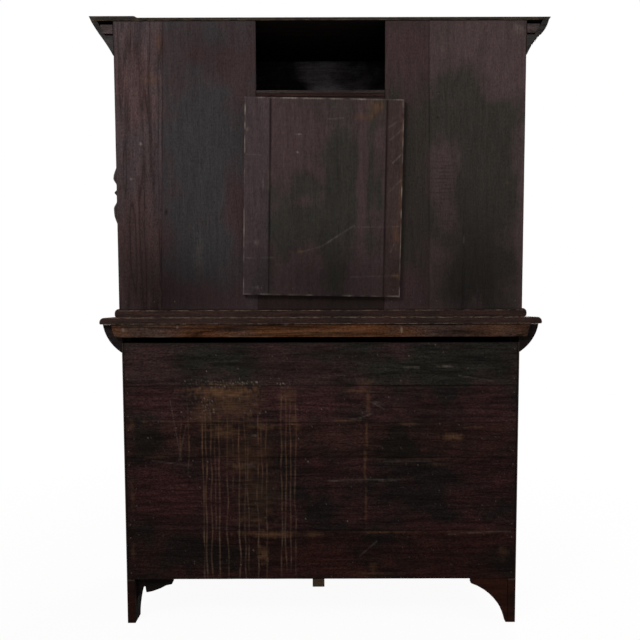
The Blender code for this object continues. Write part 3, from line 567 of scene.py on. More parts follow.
def leaned(clouds, x, z):
    """The patina's lean at a point, from 0, cold, to 1, warm."""
    return clipped(0.5 + clouded(clouds, x, z))


def run(x, z, line, top, foot):
    """1 on a run's wavering line between its top and its foot, 0 away from it."""
    if abs(x - line) > 7 * RUN_WIDTH or not foot - RUN_FADE < z < top + RUN_FADE:
        return 0.0
    waver = line + RUN_WAVER * noise_at(0.0, z, 1.0, 0.090, line * 90)
    fade = min(1.0, (top + RUN_FADE - z) / (2 * RUN_FADE), (z - foot + RUN_FADE) / (2 * RUN_FADE))
    patchy = 0.62 + 0.75 * noise_at(0.0, z, 1.0, 0.038, line * 40 + 7)
    return max(0.0, fade * patchy * math.exp(-((x - waver) / RUN_WIDTH) ** 2))


def scratched(scratches, x, z):
    """The strongest scratch at a point: thin straight lines, patchy along their length."""
    spot = Vector((x, z))
    strongest = 0.0
    for start_x, start_z, end_x, end_z, strength in scratches:
        start = Vector((start_x, start_z))
        way = Vector((end_x, end_z)) - start
        share = clipped((spot - start).dot(way) / way.length_squared)
        gap = (start + way * share - spot).length
        if gap < 4 * SCRATCH_WIDTH:
            patchy = 0.7 + 0.6 * noise_at(x, z, 0.02, 0.02, 9.0)
            strongest = max(strongest, strength * patchy * math.exp(-(gap / SCRATCH_WIDTH) ** 2))
    return strongest


def marked(smears, x, z):
    """The strongest ochre, pale and dark smear at a point."""
    return [
        max(strength * smear(x, z, *shape) for *shape, strength in smears[kind])
        for kind in ("ochre", "pale", "dark")]


print("a run is about", round(2000 * RUN_WIDTH, 1), "mm wide")

# %% [markdown]
# ## The base's back
# Five boards of unlike width lie level in the case's rabbets. They came from different trees, so each
# has its own pair of colours. Their grain runs across, along X. Ochre dirt was brushed over the left of
# the picture and ran.

# %% Marks on the base's back
BASE_RUNS = (
    (0.383, 0.7475, 0.1575, 0.62), (0.372, 0.7275, 0.1575, 0.66), (0.357, 0.7075, 0.1575, 0.62),
    (0.343, 0.6675, 0.3075, 0.35), (0.331, 0.7275, 0.1575, 0.6), (0.305, 0.7075, 0.1575, 0.52),
    (0.286, 0.6875, 0.4275, 0.4), (0.266, 0.6675, 0.1575, 0.62), (0.247, 0.6875, 0.1575, 0.5),
    (0.238, 0.6275, 0.1775, 0.5), (0.206, 0.7075, 0.1575, 0.6), (0.192, 0.6675, 0.4075, 0.4),
    (0.177, 0.6675, 0.1575, 0.52), (0.128, 0.7675, 0.1675, 0.6), (0.115, 0.7675, 0.1875, 0.58),
    (0.099, 0.7575, 0.1875, 0.6), (0.083, 0.7475, 0.1675, 0.52), (0.455, 0.6675, 0.5575, 0.4),
    (0.43, 0.7275, 0.5075, 0.42),
)
BASE_SMEARS = {
    "ochre": (
        (0.31, 0.765, 0.132, 0.026, 1.0), (0.382, 0.6956, 0.04, 0.052, 0.4),
        (0.29, 0.79, 0.112, 0.01, 0.5), (0.285, 0.725, 0.1, 0.055, 0.55),
        (0.315, 0.6367, 0.052, 0.028, 0.66), (0.189, 0.6527, 0.073, 0.012, 0.5),
        (0.268, 0.5216, 0.04, 0.015, 0.66), (0.224, 0.346, 0.073, 0.009, 0.55),
        (0.175, 0.2985, 0.1, 0.013, 0.95), (0.189, 0.2323, 0.018, 0.034, 0.9),
        (0.235, 0.55, 0.1, 0.09, 0.28), (0.205, 0.4275, 0.09, 0.12, 0.26),
        (0.108, 0.7525, 0.03, 0.04, 0.4), (0.085, 0.6675, 0.02, 0.03, 0.42),
        (0.615, 0.2418, 0.01, 0.03, 0.34), (0.612, 0.6675, 0.012, 0.02, 0.3),
        (0.614, 0.4275, 0.008, 0.06, 0.26), (-0.125, 0.7708, 0.056, 0.01, 0.56),
        (-0.146, 0.7983, 0.035, 0.016, 0.3), (-0.426, 0.6184, 0.044, 0.014, 0.85),
        (-0.477, 0.6509, 0.053, 0.007, 0.34), (-0.386, 0.5298, 0.049, 0.005, 0.45),
        (-0.285, 0.662, 0.045, 0.006, 0.42), (-0.23, 0.3045, 0.12, 0.005, 0.45),
        (0.02, 0.2975, 0.045, 0.01, 0.42), (-0.17, 0.1875, 0.015, 0.025, 0.32),
        (-0.595, 0.2375, 0.02, 0.03, 0.22), (0.35, 0.6715, 0.28, 0.004, 0.46),
        (-0.07, 0.6725, 0.06, 0.005, 0.45), (-0.152, 0.735, 0.008, 0.05, 0.55),
        (-0.148, 0.63, 0.005, 0.065, 0.75), (-0.143, 0.53, 0.005, 0.055, 0.6),
        (-0.146, 0.4, 0.004, 0.09, 0.42), (-0.33, 0.545, 0.2, 0.004, 0.3),
        (0.54, 0.554, 0.06, 0.005, 0.3), (-0.5, 0.306, 0.11, 0.005, 0.34),
        (-0.18, 0.1655, 0.12, 0.005, 0.3),
    ),
    "pale": (
        (-0.29, 0.8445, 0.03, 0.004, 0.34), (-0.4, 0.8485, 0.026, 0.004, 0.32),
        (-0.181, 0.7316, 0.016, 0.004, 0.45), (-0.174, 0.4776, 0.1, 0.004, 0.26),
        (0.215, 0.6245, 0.014, 0.004, 0.4), (0.232, 0.529, 0.02, 0.01, 0.22),
    ),
    "dark": (
        (0.52, 0.6075, 0.07, 0.05, 0.1), (0.03, 0.3875, 0.07, 0.09, 0.35),
        (0.27, 0.598, 0.105, 0.026, 0.66), (-0.36, 0.59, 0.2, 0.02, 0.45),
        (-0.4, 0.285, 0.12, 0.014, 0.55), (-0.1, 0.2375, 0.08, 0.05, 0.3),
        (0.4, 0.2375, 0.09, 0.04, 0.08), (0.54, 0.779, 0.09, 0.004, 0.6),
    ),
}
BASE_TINTS = (
    (0.336, 0.8754, 0.108, 0.05, -0.55), (0.539, 0.8549, 0.08, 0.068, 0.45),
    (-0.4, 0.8606, 0.19, 0.055, -0.4), (0.12, 0.86, 0.1, 0.05, 0.4), (0.56, 0.62, 0.045, 0.035, -0.5),
    (-0.248, 0.6023, 0.073, 0.059, -0.5), (-0.363, 0.4455, 0.074, 0.075, -0.5),
    (-0.409, 0.7489, 0.035, 0.033, -0.45), (0.4, 0.24, 0.09, 0.05, -0.45), (0.0, 0.4, 0.06, 0.08, -0.35),
    (0.05, 0.72, 0.15, 0.05, 0.35), (0.48, 0.42, 0.12, 0.09, 0.4), (-0.5, 0.3, 0.12, 0.06, 0.4),
    (-0.56, 0.65, 0.06, 0.1, 0.35), (0.53, 0.73, 0.09, 0.04, 0.4), (0.05, 0.22, 0.15, 0.06, 0.4),
)
# Darker patches, mostly at -X, part grime and part painted shade where the light falls off.
BASE_DARKENING = (
    (-0.45, 0.6, 0.25, 0.11, 0.36), (-0.45, 0.2, 0.25, 0.08, 0.42), (-0.45, 0.75, 0.25, 0.04, 0.2),
    (0.1, 0.87, 0.2, 0.05, 0.18), (0.23, 0.56, 0.17, 0.1, 0.34), (0.22, 0.3, 0.15, 0.13, 0.3),
)
BASE_SCRATCHES = (
    (-0.077, 0.6749, -0.125, 0.681, 0.34), (-0.125, 0.681, -0.167, 0.6962, 0.4),
    (-0.019, 0.4731, -0.12, 0.479, 0.36), (-0.12, 0.479, -0.244, 0.4761, 0.3),
    (-0.201, 0.5402, -0.357, 0.5398, 0.26), (-0.159, 0.7346, -0.204, 0.7104, 0.36),
    (-0.445, 0.8182, -0.556, 0.8004, 0.22), (-0.415, 0.2976, -0.62, 0.3071, 0.3),
    (-0.126, 0.2248, -0.183, 0.2749, 0.26), (0.487, 0.7415, 0.454, 0.5452, 0.22),
    (0.436, 0.6599, 0.462, 0.5422, 0.2), (0.548, 0.5422, 0.419, 0.5253, 0.24),
)
BASE_SPATTER = (
    (0.3, 0.795, 0.15, 0.014, 0.42), (0.36, 0.728, 0.028, 0.028, 0.36), (0.11, 0.79, 0.03, 0.012, 0.3),
    (0.44, 0.69, 0.06, 0.05, 0.14), (0.2, 0.72, 0.12, 0.06, 0.16),
)
CRUMB, CRUMB_START = 0.0044, 0.64
CHALK_TOP, CHALK_FADE = 0.70, 0.40


def base_marks(x, z, rim):
    """Ochre, pale, dark and the patina's lean on the base's back. Runs turn chalky further down."""
    ochre, pale, dark = marked(BASE_SMEARS, x, z)
    wet = max(strength * run(x, z, line, top, foot) for line, top, foot, strength in BASE_RUNS)
    if rim < RIM:
        dark = max(dark, 0.50 + 0.5 * noise_at(x, z, 0.10, 0.4, 5.0))
    # The darker patches are part grime and part painted shade.
    dark = clipped(max(dark, clouded(BASE_DARKENING, x, z)) - wet)
    crumbs = noise_at(x, z, CRUMB, CRUMB, 11.0) + clouded(BASE_SPATTER, x, z)
    chalky = min(1.0, max(0.3, (CHALK_TOP - z) / CHALK_FADE))
    speckled_white = min(0.9, 3.0 * (crumbs - CRUMB_START))
    pale = max(pale, speckled_white, 0.34 * chalky * wet, scratched(BASE_SCRATCHES, x, z))
    return max(ochre, min(1.0, (1.75 - 0.6 * chalky) * wet)), pale, dark, leaned(BASE_TINTS, x, z)


print(len(BASE_RUNS), "runs and", len(BASE_SCRATCHES), "scratches on the base's back")

# %% Base back boards
BASE_BOARD_TONES = (
    ("#271411", "#150f0d"), ("#2b1817", "#161110"), ("#2d1b18", "#181310"), ("#311e1d", "#1c1715"),
    ("#2e201f", "#1f1d19"),
)
BASE_STEP = (0.0024, 0.0040)

for number, (warm, cold) in enumerate(BASE_BOARD_TONES, start=1):
    node = f"base_back_board_{number}"
    finish = aged_oak(
        "stained_oak_" + node, warm, cold, "X", contrast=0.50, figure=0.22, fine=0.50 - 0.03 * number,
        arches=0.30, spread=0.14, painted=True, specks=0.8)
    planed_piece(node, BASE_STEP, base_marks, [finish, inside_oak["X"]])
print("base back:", len(BASE_BOARD_TONES), "boards")

# %% [markdown]
# ## The hutch's back
# Five upright boards are nailed over the hutch. No two have the same colour, and the wide left one has
# split along its grain. The split is a narrow trench that deepens towards the foot.

# %% Marks on the hutch's back
SPLIT_LINE = -0.452
SPLIT_FOOT, SPLIT_TOP = 1.0, 1.40
SPLIT_WIDTH = 0.0024
SPLIT_DEPTH = 0.0060
SPLIT_WAVER = 0.003

HUTCH_SMEARS = {
    "ochre": (
        (0.5, 1.8569, 0.012, 0.035, 0.42), (0.521, 1.7464, 0.034, 0.022, 0.36),
        (-0.588, 1.429, 0.008, 0.014, 0.3), (-0.33, 1.0375, 0.08, 0.006, 0.25),
    ),
    "pale": (
        (0.562, 1.5515, 0.006, 0.006, 1.0), (0.594, 1.4425, 0.005, 0.005, 0.7),
        (0.386, 1.2065, 0.016, 0.09, 0.14), (-0.452, 1.25, 0.003, 0.018, 0.75),
        (-0.615, 1.9023, 0.02, 0.022, 0.3),
    ),
    # The wide dark smear across the centre board's foot is painted shadow under the patch.
    "dark": (
        (0.486, 1.34, 0.007, 0.017, 1.0), (-0.366, 1.6298, 0.005, 0.005, 1.0),
        (-0.02, 1.0675, 0.24, 0.02, 0.45), (-0.452, 1.2, 0.003, 0.16, 1.0),
    ),
}
HUTCH_TINTS = (
    (0.366, 1.8234, 0.05, 0.024, 0.5), (0.253, 1.7913, 0.055, 0.032, 0.5),
    (0.268, 1.8016, 0.06, 0.11, 0.3), (0.269, 1.3534, 0.026, 0.09, 0.5), (0.4, 1.07, 0.28, 0.05, 0.5),
    (0.376, 1.5078, 0.11, 0.18, -0.55), (0.386, 1.22, 0.08, 0.1, -0.5), (0.57, 1.75, 0.08, 0.15, 0.4),
    (0.56, 1.25, 0.09, 0.2, 0.45), (0.58, 1.52, 0.05, 0.07, -0.2), (-0.275, 1.8397, 0.06, 0.09, 0.55),
    (-0.29, 1.45, 0.05, 0.22, -0.5), (-0.26, 1.1, 0.08, 0.06, 0.45), (-0.504, 1.8466, 0.15, 0.08, 0.6),
    (-0.491, 1.62, 0.12, 0.1, -0.5), (-0.385, 1.437, 0.036, 0.093, 0.55),
    (-0.54, 1.42, 0.08, 0.15, -0.5), (-0.497, 1.179, 0.12, 0.118, -0.45),
    (-0.381, 1.197, 0.029, 0.032, 0.55), (-0.635, 1.2, 0.012, 0.2, 0.6),
    (-0.42, 1.69, 0.07, 0.085, -0.5), (-0.59, 1.73, 0.05, 0.07, 0.3),
)
# Darker towards the boards' foot, part grime and part painted shade; the wide band at the centre's foot is
# painted shadow under the patch.
HUTCH_DARKENING = (
    (0.56, 1.08, 0.12, 0.24, 0.82), (0.38, 1.08, 0.14, 0.13, 0.62), (-0.48, 1.08, 0.2, 0.26, 0.9),
    (0.34, 1.83, 0.13, 0.09, 0.34), (-0.28, 1.45, 0.05, 0.25, 0.1), (-0.02, 1.06, 0.24, 0.03, 0.35),
    (-0.385, 1.43, 0.045, 0.11, 0.2),
)
SAWN = ((-0.385, 1.43, 0.04, 0.1, 1.0), (-0.381, 1.197, 0.03, 0.034, 0.6))
SAW_PITCH = 0.0105


def split_trench(x, z):
    """How deep the split is at a point: a narrow trench along a wavering line."""
    if z > SPLIT_TOP:
        return 0.0
    line = SPLIT_LINE + SPLIT_WAVER * noise_at(0.0, z, 1.0, 0.25, 2.0)
    shut = (z - SPLIT_FOOT) / (SPLIT_TOP - SPLIT_FOOT)
    return SPLIT_DEPTH * (1 - shut) * math.exp(-((x - line) / SPLIT_WIDTH) ** 2)


def hutch_marks(x, z, rim):
    """Ochre, pale, dark and the patina's lean on the hutch's back."""
    ochre, pale, dark = marked(HUTCH_SMEARS, x, z)
    saw = math.sin(2 * math.pi * z / SAW_PITCH + 2.0 * noise_at(x, z, 0.08, 0.03, 8.0))
    # The darkening is part grime and part painted shade, with painted shadow under the patch.
    dark = max(dark, clouded(HUTCH_DARKENING, x, z), 0.85 * saw * clouded(SAWN, x, z))
    if rim < RIM:
        dark = max(dark, 0.25 + 0.4 * noise_at(x, z, 0.1, 0.1, 6.0))
    return ochre, pale, min(1.0, dark), leaned(HUTCH_TINTS, x, z)


print("the split is", 1000 * SPLIT_DEPTH, "mm deep at its foot")

# %% Hutch back boards
HUTCH_BOARD_TONES = {
    "outer_right": ("#443433", "#3a3437"), "inner_right": ("#3b2d2e", "#333132"),
    "centre": ("#2a1f1d", "#211b19"), "inner_left": ("#3d2e2f", "#312c28"),
    "outer_left": ("#493b3b", "#332f2b"),
}
HUTCH_GRAIN = {
    "outer_right": {"contrast": 0.32, "fine": 0.22, "arches": 0.34, "pores": 0.40},
}
PLAIN_GRAIN = {"contrast": 0.20, "figure": 0.14, "pores": 0.26, "spread": 0.18}
HUTCH_STEP = (0.0036, 0.0040)

for word, (warm, cold) in HUTCH_BOARD_TONES.items():
    node = "hutch_back_board_" + word
    finish = aged_oak(
        "stained_oak_" + node, warm, cold, "Z", painted=True, specks=0.7,
        **HUTCH_GRAIN.get(word, PLAIN_GRAIN))
    crack = split_trench if word == "outer_left" else None
    planed_piece(node, HUTCH_STEP, hutch_marks, [finish, inside_oak["Z"]], crack=crack)
print("hutch back:", len(HUTCH_BOARD_TONES), "boards")

# %% [markdown]
# ## The patch
# A later repair closes most of the hutch's open middle: three boards joined edge to edge and nailed on,
# a little crooked. Handling has rubbed its edges to pale wood and scratched its face. Its marks are
# placed about its middle, before it is tilted.

# %% Marks on the patch
PATCH_HEIGHT = 0.611
PATCH_RUB = 0.0034
PATCH_SEAMS = (-0.2475, -0.195, 0.166, 0.2475)
PATCH_SCRATCHES = (
    (0.066, -0.169, 0.0, -0.15, 0.34), (0.0, -0.15, -0.099, -0.084, 0.55),
    (-0.215, 0.11, -0.245, 0.14, 0.45), (-0.195, 0.215, -0.225, 0.235, 0.36),
    (0.24, 0.13, 0.195, 0.128, 0.36), (-0.06, 0.245, -0.01, 0.24, 0.36),
    (-0.09, -0.245, -0.24, -0.238, 0.28), (0.24, -0.19, 0.15, -0.188, 0.3),
    (-0.1, -0.09, -0.24, -0.085, 0.26), (-0.205, 0.02, -0.245, 0.06, 0.34),
    (-0.205, 0.18, -0.245, 0.215, 0.3), (-0.225, -0.14, -0.215, -0.165, 0.45),
)
PATCH_SMEARS = {
    "ochre": (
        (0.069, -0.169, 0.012, 0.006, 0.95), (-0.163, 0.28, 0.03, 0.028, 0.85),
        (-0.242, 0.007, 0.006, 0.13, 0.55), (-0.234, -0.24, 0.013, 0.01, 0.95),
        (-0.128, 0.248, 0.046, 0.016, 0.52), (-0.243, 0.2, 0.006, 0.08, 0.34),
        (-0.23, -0.115, 0.014, 0.04, 0.55),
    ),
    "pale": (
        (0.078, 0.193, 0.009, 0.003, 0.85), (0.082, 0.138, 0.005, 0.004, 0.55),
        (0.236, 0.206, 0.008, 0.008, 0.34), (0.205, -0.282, 0.014, 0.006, 0.55),
        (0.187, 0.03, 0.004, 0.03, 0.34), (0.168, 0.06, 0.004, 0.08, 0.25),
        (-0.245, 0.29, 0.006, 0.012, 0.6), (0.205, -0.14, 0.01, 0.012, 0.34),
    ),
    "dark": (
        (0.045, 0.07, 0.02, 0.02, 0.32), (-0.04, 0.05, 0.03, 0.15, 0.16),
        (0.168, 0.235, 0.004, 0.02, 0.7), (0.162, 0.222, 0.004, 0.004, 0.8),
    ),
}
PATCH_TINTS = (
    (-0.061, 0.06, 0.042, 0.13, -0.75), (-0.122, 0.0, 0.014, 0.24, 0.65),
    (-0.147, 0.08, 0.01, 0.12, -0.45), (-0.178, 0.0, 0.014, 0.075, -0.45),
    (0.11, 0.19, 0.09, 0.11, 0.55), (0.125, -0.08, 0.045, 0.085, -0.5),
    (-0.006, -0.09, 0.09, 0.075, -0.42), (0.062, 0.045, 0.03, 0.036, -0.6),
    (0.056, -0.012, 0.03, 0.018, 0.4), (-0.044, -0.235, 0.03, 0.07, -0.42),
    (0.07, -0.24, 0.08, 0.06, 0.6), (-0.13, -0.25, 0.06, 0.055, 0.45), (0.205, 0.0, 0.03, 0.29, 0.4),
    (-0.222, 0.0, 0.03, 0.29, 0.45),
)
# Darker towards the patch's foot, part grime and part painted shade.
PATCH_DARKENING = ((-0.018, -0.27, 0.3, 0.14, 0.78), (0.205, -0.1, 0.04, 0.2, 0.12))


def patch_marks(x, z, rim):
    """Ochre, pale, dark and the patina's lean on the patch, about its middle."""
    ochre, pale, dark = marked(PATCH_SMEARS, x, z)
    pale = max(pale, scratched(PATCH_SCRATCHES, x, z))
    # The darker patches are part grime and part painted shade.
    dark = max(dark, clouded(PATCH_DARKENING, x, z))
    outer = min(x - PATCH_SEAMS[0], PATCH_SEAMS[3] - x, z + PATCH_HEIGHT / 2, PATCH_HEIGHT / 2 - z)
    if outer < PATCH_RUB:
        pale = max(pale, 0.34 + 1.15 * noise_at(x, z, 0.026, 0.026, 4.0))
    elif rim < RIM and outer > 2 * RIM:
        dark = max(dark, 0.65)
    return ochre, pale, min(1.0, dark), leaned(PATCH_TINTS, x, z)


print(len(PATCH_SCRATCHES), "scratches on the patch")

# %% Patch of three boards
PATCH_TILT = math.radians(-1.1)
PATCH_TONES = {
    "left": ("#3b2e2c", "#322a26"), "middle": ("#413334", "#302d29"), "right": ("#413537", "#393233")}
PATCH_STEP = (0.0024, 0.0032)
PATCH_JOINT = 0.0004

low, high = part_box("patch_board")
middle = (low + high) / 2
tilted = Matrix.Translation((middle.x, 0.0, middle.z)) @ Matrix.Rotation(PATCH_TILT, 4, "Y")
levels = (-PATCH_HEIGHT / 2, PATCH_HEIGHT / 2)
for (word, (warm, cold)), *edges in zip(PATCH_TONES.items(), PATCH_SEAMS, PATCH_SEAMS[1:]):
    finish = aged_oak(
        "stained_oak_patch_" + word, warm, cold, "Z", contrast=0.20, figure=0.16, fine=0.14, arches=0.08,
        pores=0.24, spread=0.15, painted=True, specks=0.9)
    inset = (edges[0] + PATCH_JOINT, edges[1] - PATCH_JOINT)
    bm = planed_board(inset, inset, levels, (low.y, high.y), PATCH_STEP, patch_marks)
    bmesh.ops.transform(bm, matrix=tilted, verts=bm.verts)
    add_piece("patch_board_" + word, bm, [finish, inside_oak["Z"]], "case", ["patch_board"])
print("patch tilted by", round(math.degrees(PATCH_TILT), 2), "degrees")

# %% [markdown]
# ## The waist rail
# Under the waist board's overhang a browner rail is nailed across the back. Its middle is rubbed to a
# warm orange.

# %% Waist rail
RAIL_STEP = (0.0028, 0.0026)
RAIL_SMEARS = {
    "ochre": (
        (0.06, 0.9605, 0.2, 0.014, 0.4), (-0.1, 0.9655, 0.11, 0.014, 0.45),
        (-0.56, 0.9695, 0.08, 0.01, 0.3), (-0.257, 0.9655, 0.004, 0.022, 0.75),
    ),
    "pale": (
        (-0.257, 0.9655, 0.003, 0.016, 0.75), (0.627, 0.97, 0.006, 0.007, 0.75),
        (0.455, 0.9775, 0.004, 0.006, 0.45), (0.11, 0.9835, 0.012, 0.003, 0.4),
    ),
    "dark": (
        (0.577, 0.97, 0.004, 0.008, 0.9), (0.571, 0.9555, 0.004, 0.008, 0.9),
        (-0.45, 0.96, 0.17, 0.03, 0.55), (-0.205, 0.9695, 0.04, 0.012, 0.3),
    ),
}
RAIL_TINTS = (
    (0.0, 0.965, 0.26, 0.05, 0.55), (0.52, 0.965, 0.12, 0.05, -0.3), (-0.38, 0.965, 0.12, 0.05, -0.45),
    (0.25, 0.97, 0.06, 0.03, -0.3),
)


def rail_marks(x, z, rim):
    """Ochre, pale, dark and the patina's lean on the waist rail."""
    ochre, pale, dark = marked(RAIL_SMEARS, x, z)
    if rim < RIM:
        pale = max(pale, 0.30 * max(0.0, noise_at(x, z, 0.06, 0.4, 5.0)))
    return ochre, pale, dark, leaned(RAIL_TINTS, x, z)


finish = aged_oak(
    "brown_oak_waist_rail", "#4b2d1a", "#3a2b25", "X", contrast=0.62, fine=0.40, arches=0.60, painted=True,
    specks=0.9)
planed_piece("waist_back_rail", RAIL_STEP, rail_marks, [finish, brown_oak["X"]])
print("waist rail in", finish.name)

# %% [markdown]
# ## Nails
# The boards are held by hand-made rose-head nails: a shank with a head hammered into four or five
# facets. Only the head shows, driven nearly flush, so each is a low cone of a few sides with its arris
# taken off, turned a little differently from the next. All the nails of one board or group make one
# piece.

# %% Nail heads
NAIL_RADIUS = 0.0038
NAIL_CROWN = 0.0014
NAIL_HEIGHT = 0.0020
NAIL_PROUD = 0.0008
NAIL_SIDES = 7
NAIL_TURN = (31.0, 17.0)


def nail_head(bm, x, y, z):
    """Add one nail head that looks along +Y from the face at y."""
    angle = NAIL_TURN[0] * x + NAIL_TURN[1] * z
    turn = Matrix.Rotation(-math.pi / 2, 4, "X") @ Matrix.Rotation(angle, 4, "Z")
    made = bmesh.ops.create_cone(
        bm, cap_ends=True, segments=NAIL_SIDES, radius1=NAIL_RADIUS, radius2=NAIL_CROWN, depth=NAIL_HEIGHT,
        matrix=Matrix.Translation((x, y + NAIL_PROUD - NAIL_HEIGHT / 2, z)) @ turn)
    crown = [edge for edge in {edge for vert in made["verts"] for edge in vert.link_edges}
             if all(vert.co.y > y for vert in edge.verts)]
    bevelled(bm, crown, NAIL_CROWN / 3, 2)


def nailed(name, places, board):
    """One piece of nail heads at the X, Z places on a board's rear face."""
    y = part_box(board)[1].y - WAVE_DEPTH / 2
    bm = bmesh.new()
    for x, z in places:
        nail_head(bm, x, y, z)
    add_piece(name, bm, [forged_iron], "case")


print("nail heads", round(2000 * NAIL_RADIUS, 1), "mm across")

# %% [markdown]
# Upright boards are nailed to the hutch's floor, shelf and top, and level boards to the base's sides.
# The patch has a line of three nails in each of its boards. One stray nail sits in an outer board.

# %% Nails in the back
HUTCH_NAIL_LEVELS = (1.058, 1.703, 1.903)
RAIL_NAIL_SHARES = (0.04, 0.27, 0.5, 0.73, 0.96)
NAIL_MARGIN = 0.022
STRAY_NAIL = (-0.575, 1.489)
PATCH_NAIL_LINE, PATCH_NAIL_LEVEL = 0.090, 0.040

places = [STRAY_NAIL]
for word in ("outer_right", "inner_right", "inner_left", "outer_left"):
    foot, head = x_edges("hutch_back_board_" + word)
    lines = (max(foot[0], head[0]) + NAIL_MARGIN, min(foot[1], head[1]) - NAIL_MARGIN)
    places += [(line, level) for level in HUTCH_NAIL_LEVELS for line in lines]
nailed("nails_hutch_back", places, "hutch_back_board_outer_left")

places = []
for number in range(1, 6):
    low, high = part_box(f"base_back_board_{number}")
    reach = high.x - NAIL_MARGIN / 2
    for level in (low.z + NAIL_MARGIN, high.z - NAIL_MARGIN):
        places += [(-reach, level), (reach, level)]
nailed("nails_base_back", places, "base_back_board_1")

places = []
for x in (PATCH_SEAMS[0] + NAIL_MARGIN, PATCH_NAIL_LINE, PATCH_SEAMS[2] + NAIL_MARGIN):
    for z in (levels[0] + NAIL_MARGIN, PATCH_NAIL_LEVEL, levels[1] - NAIL_MARGIN):
        spot = tilted @ Vector((x, 0.0, z))
        places.append((spot.x, spot.z))
nailed("nails_patch", places, "patch_board")

low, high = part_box("waist_back_rail")
level = (low.z + high.z) / 2
places = [(low.x + (high.x - low.x) * share, level) for share in RAIL_NAIL_SHARES]
nailed("nails_waist_rail", places, "waist_back_rail")

# %% [markdown]
# ## Faces that look inwards
# A cupboard's inside is never waxed: soot, dust and use leave it dull and almost black. A board is one
# solid with both sides, so a merged copy gets two finishes, and a small rule picks one by which way a
# face looks. Wide boards are several planks glued together, so a fine V groove marks each joint: three
# bisecting planes, the middle line then pushed into the wood.

# %% Dressed copies
JOINT_WIDTH = 0.0016
JOINT_DEPTH = 0.0009
FACING = 0.9


def bisected(bm, axis, level, away=1.0, clear=False):
    """Cut every face that crosses a level, and give the edges of the cut. Clear drops what lies away."""
    point, normal = Vector(), Vector()
    point[axis], normal[axis] = level, away
    everything = bm.verts[:] + bm.edges[:] + bm.faces[:]
    cut = bmesh.ops.bisect_plane(
        bm, geom=everything, plane_co=point, plane_no=normal, clear_outer=clear)["geom_cut"]
    return [item for item in cut if isinstance(item, bmesh.types.BMEdge)]


def plank_joint(bm, axis, level, facing):
    """Mark a glued joint across a wide board by a fine V groove in the face that looks along facing."""
    for shift in (-JOINT_WIDTH / 2, 0.0, JOINT_WIDTH / 2):
        bisected(bm, axis, level + shift)
    bm.normal_update()
    for vert in bm.verts:
        if abs(vert.co[axis] - level) < WELD and vert.normal.dot(facing) > FACING:
            vert.co -= facing * JOINT_DEPTH


def dressed(node, finishes, rule=None, body="case", joints=(), cuts=()):
    """A merged copy of a solid. The rule gives the number of a face's finish by its normal and middle."""
    bm = merged_copy(node)
    for axis, level, facing in joints:
        plank_joint(bm, axis, level, facing)
    for axis, level in cuts:
        bisected(bm, axis, level)
    bm.normal_update()
    for face in bm.faces:
        face.material_index = int(rule(face.normal, face.calc_center_median())) if rule else 0
    return add_piece(node + "_dressed", bm, finishes, body, [node])


print("plank joints", 1000 * JOINT_WIDTH, "mm wide")

# %% Sides, shelves and partition
SIDE_JOINTS = {"base": (-0.085, 0.095), "hutch": (0.020, 0.135)}
FOOT_TOP = 0.142
# Painted shade under the waist rail runs between these levels.
RAIL_SHADE_FOOT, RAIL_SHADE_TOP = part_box("base_back_board_5")[1].z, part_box("waist_back_rail")[0].z
upright = [show_oak["Z"], inside_oak["Z"]]
level_wood = [show_oak["X"], inside_oak["X"]]
foot_oak = aged_oak("red_black_foot_oak", "#28120b", "#1a0d09", "X")
tongue_oak = aged_oak("grey_brown_oak", "#37302d", "#2c2725", "X", contrast=0.45)
ledge_oak = aged_oak("red_brown_oak", "#2f1e1b", "#261917", "X", contrast=0.45)
SHELF_EDGE = 0.002


def side_rule(normal, spot, outward):
    """A side is show wood, sooty inside, painted shade under the waist rail, and red behind at its foot.
    """
    if normal.y > FACING and spot.z < FOOT_TOP:
        return 2
    # The rear edge between the top back board and the waist rail gets the sooty finish as painted shade.
    return normal.dot(outward) < -0.5 or normal.y > FACING and RAIL_SHADE_FOOT < spot.z < RAIL_SHADE_TOP


for case, joints in SIDE_JOINTS.items():
    for word, side in (("left", -1.0), ("right", 1.0)):
        outward = Vector((side, 0.0, 0.0))
        dressed(
            f"{case}_side_{word}", [*upright, foot_oak],
            lambda normal, spot, out=outward: side_rule(normal, spot, out),
            joints=[(1, level, outward) for level in joints],
            cuts=[(2, FOOT_TOP), (2, RAIL_SHADE_FOOT), (2, RAIL_SHADE_TOP)])
dressed("base_bottom", level_wood, lambda normal, spot: normal.z > 0.5)
dressed("drawer_board", level_wood, lambda normal, spot: normal.y > -0.5)
dressed("drawer_partition", upright, lambda normal, spot: normal.y > -0.5)
low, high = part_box("hutch_shelf")
seam = (low.z + high.z) / 2
rear = high.y - SHELF_EDGE


def shelf_rule(normal, spot):
    """A shelf's rear edge is two boards, grey over red, and the rest of it is sooty."""
    if spot.y < rear:
        return 1
    return 2 if spot.z < seam else 0


dressed(
    "hutch_shelf", [tongue_oak, inside_oak["X"], ledge_oak], shelf_rule,
    joints=[(2, seam, Vector((0.0, 1.0, 0.0)))])

# %% [markdown]
# A pool of grey light is painted on the inner face of the frieze, which the opening in the back shows.
# Its rear face is painted like a back board, and the rest of it is show wood.

# %% Frieze
FRIEZE_STEP = (0.008, 0.004)
# Where the pool of grey light is painted on the frieze's inner face.
FRIEZE_LIGHT_POOL = ((-0.014, 1.87, 0.072, 0.09, 1.0), (-0.18, 1.85, 0.12, 0.06, 0.24))


def frieze_marks(x, z, rim):
    """A painted pool of grey light on the inner face of the frieze, as the patina's lean."""
    return 0.0, 0.0, 0.0, min(1.0, clouded(FRIEZE_LIGHT_POOL, x, z))


low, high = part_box("frieze_rail")
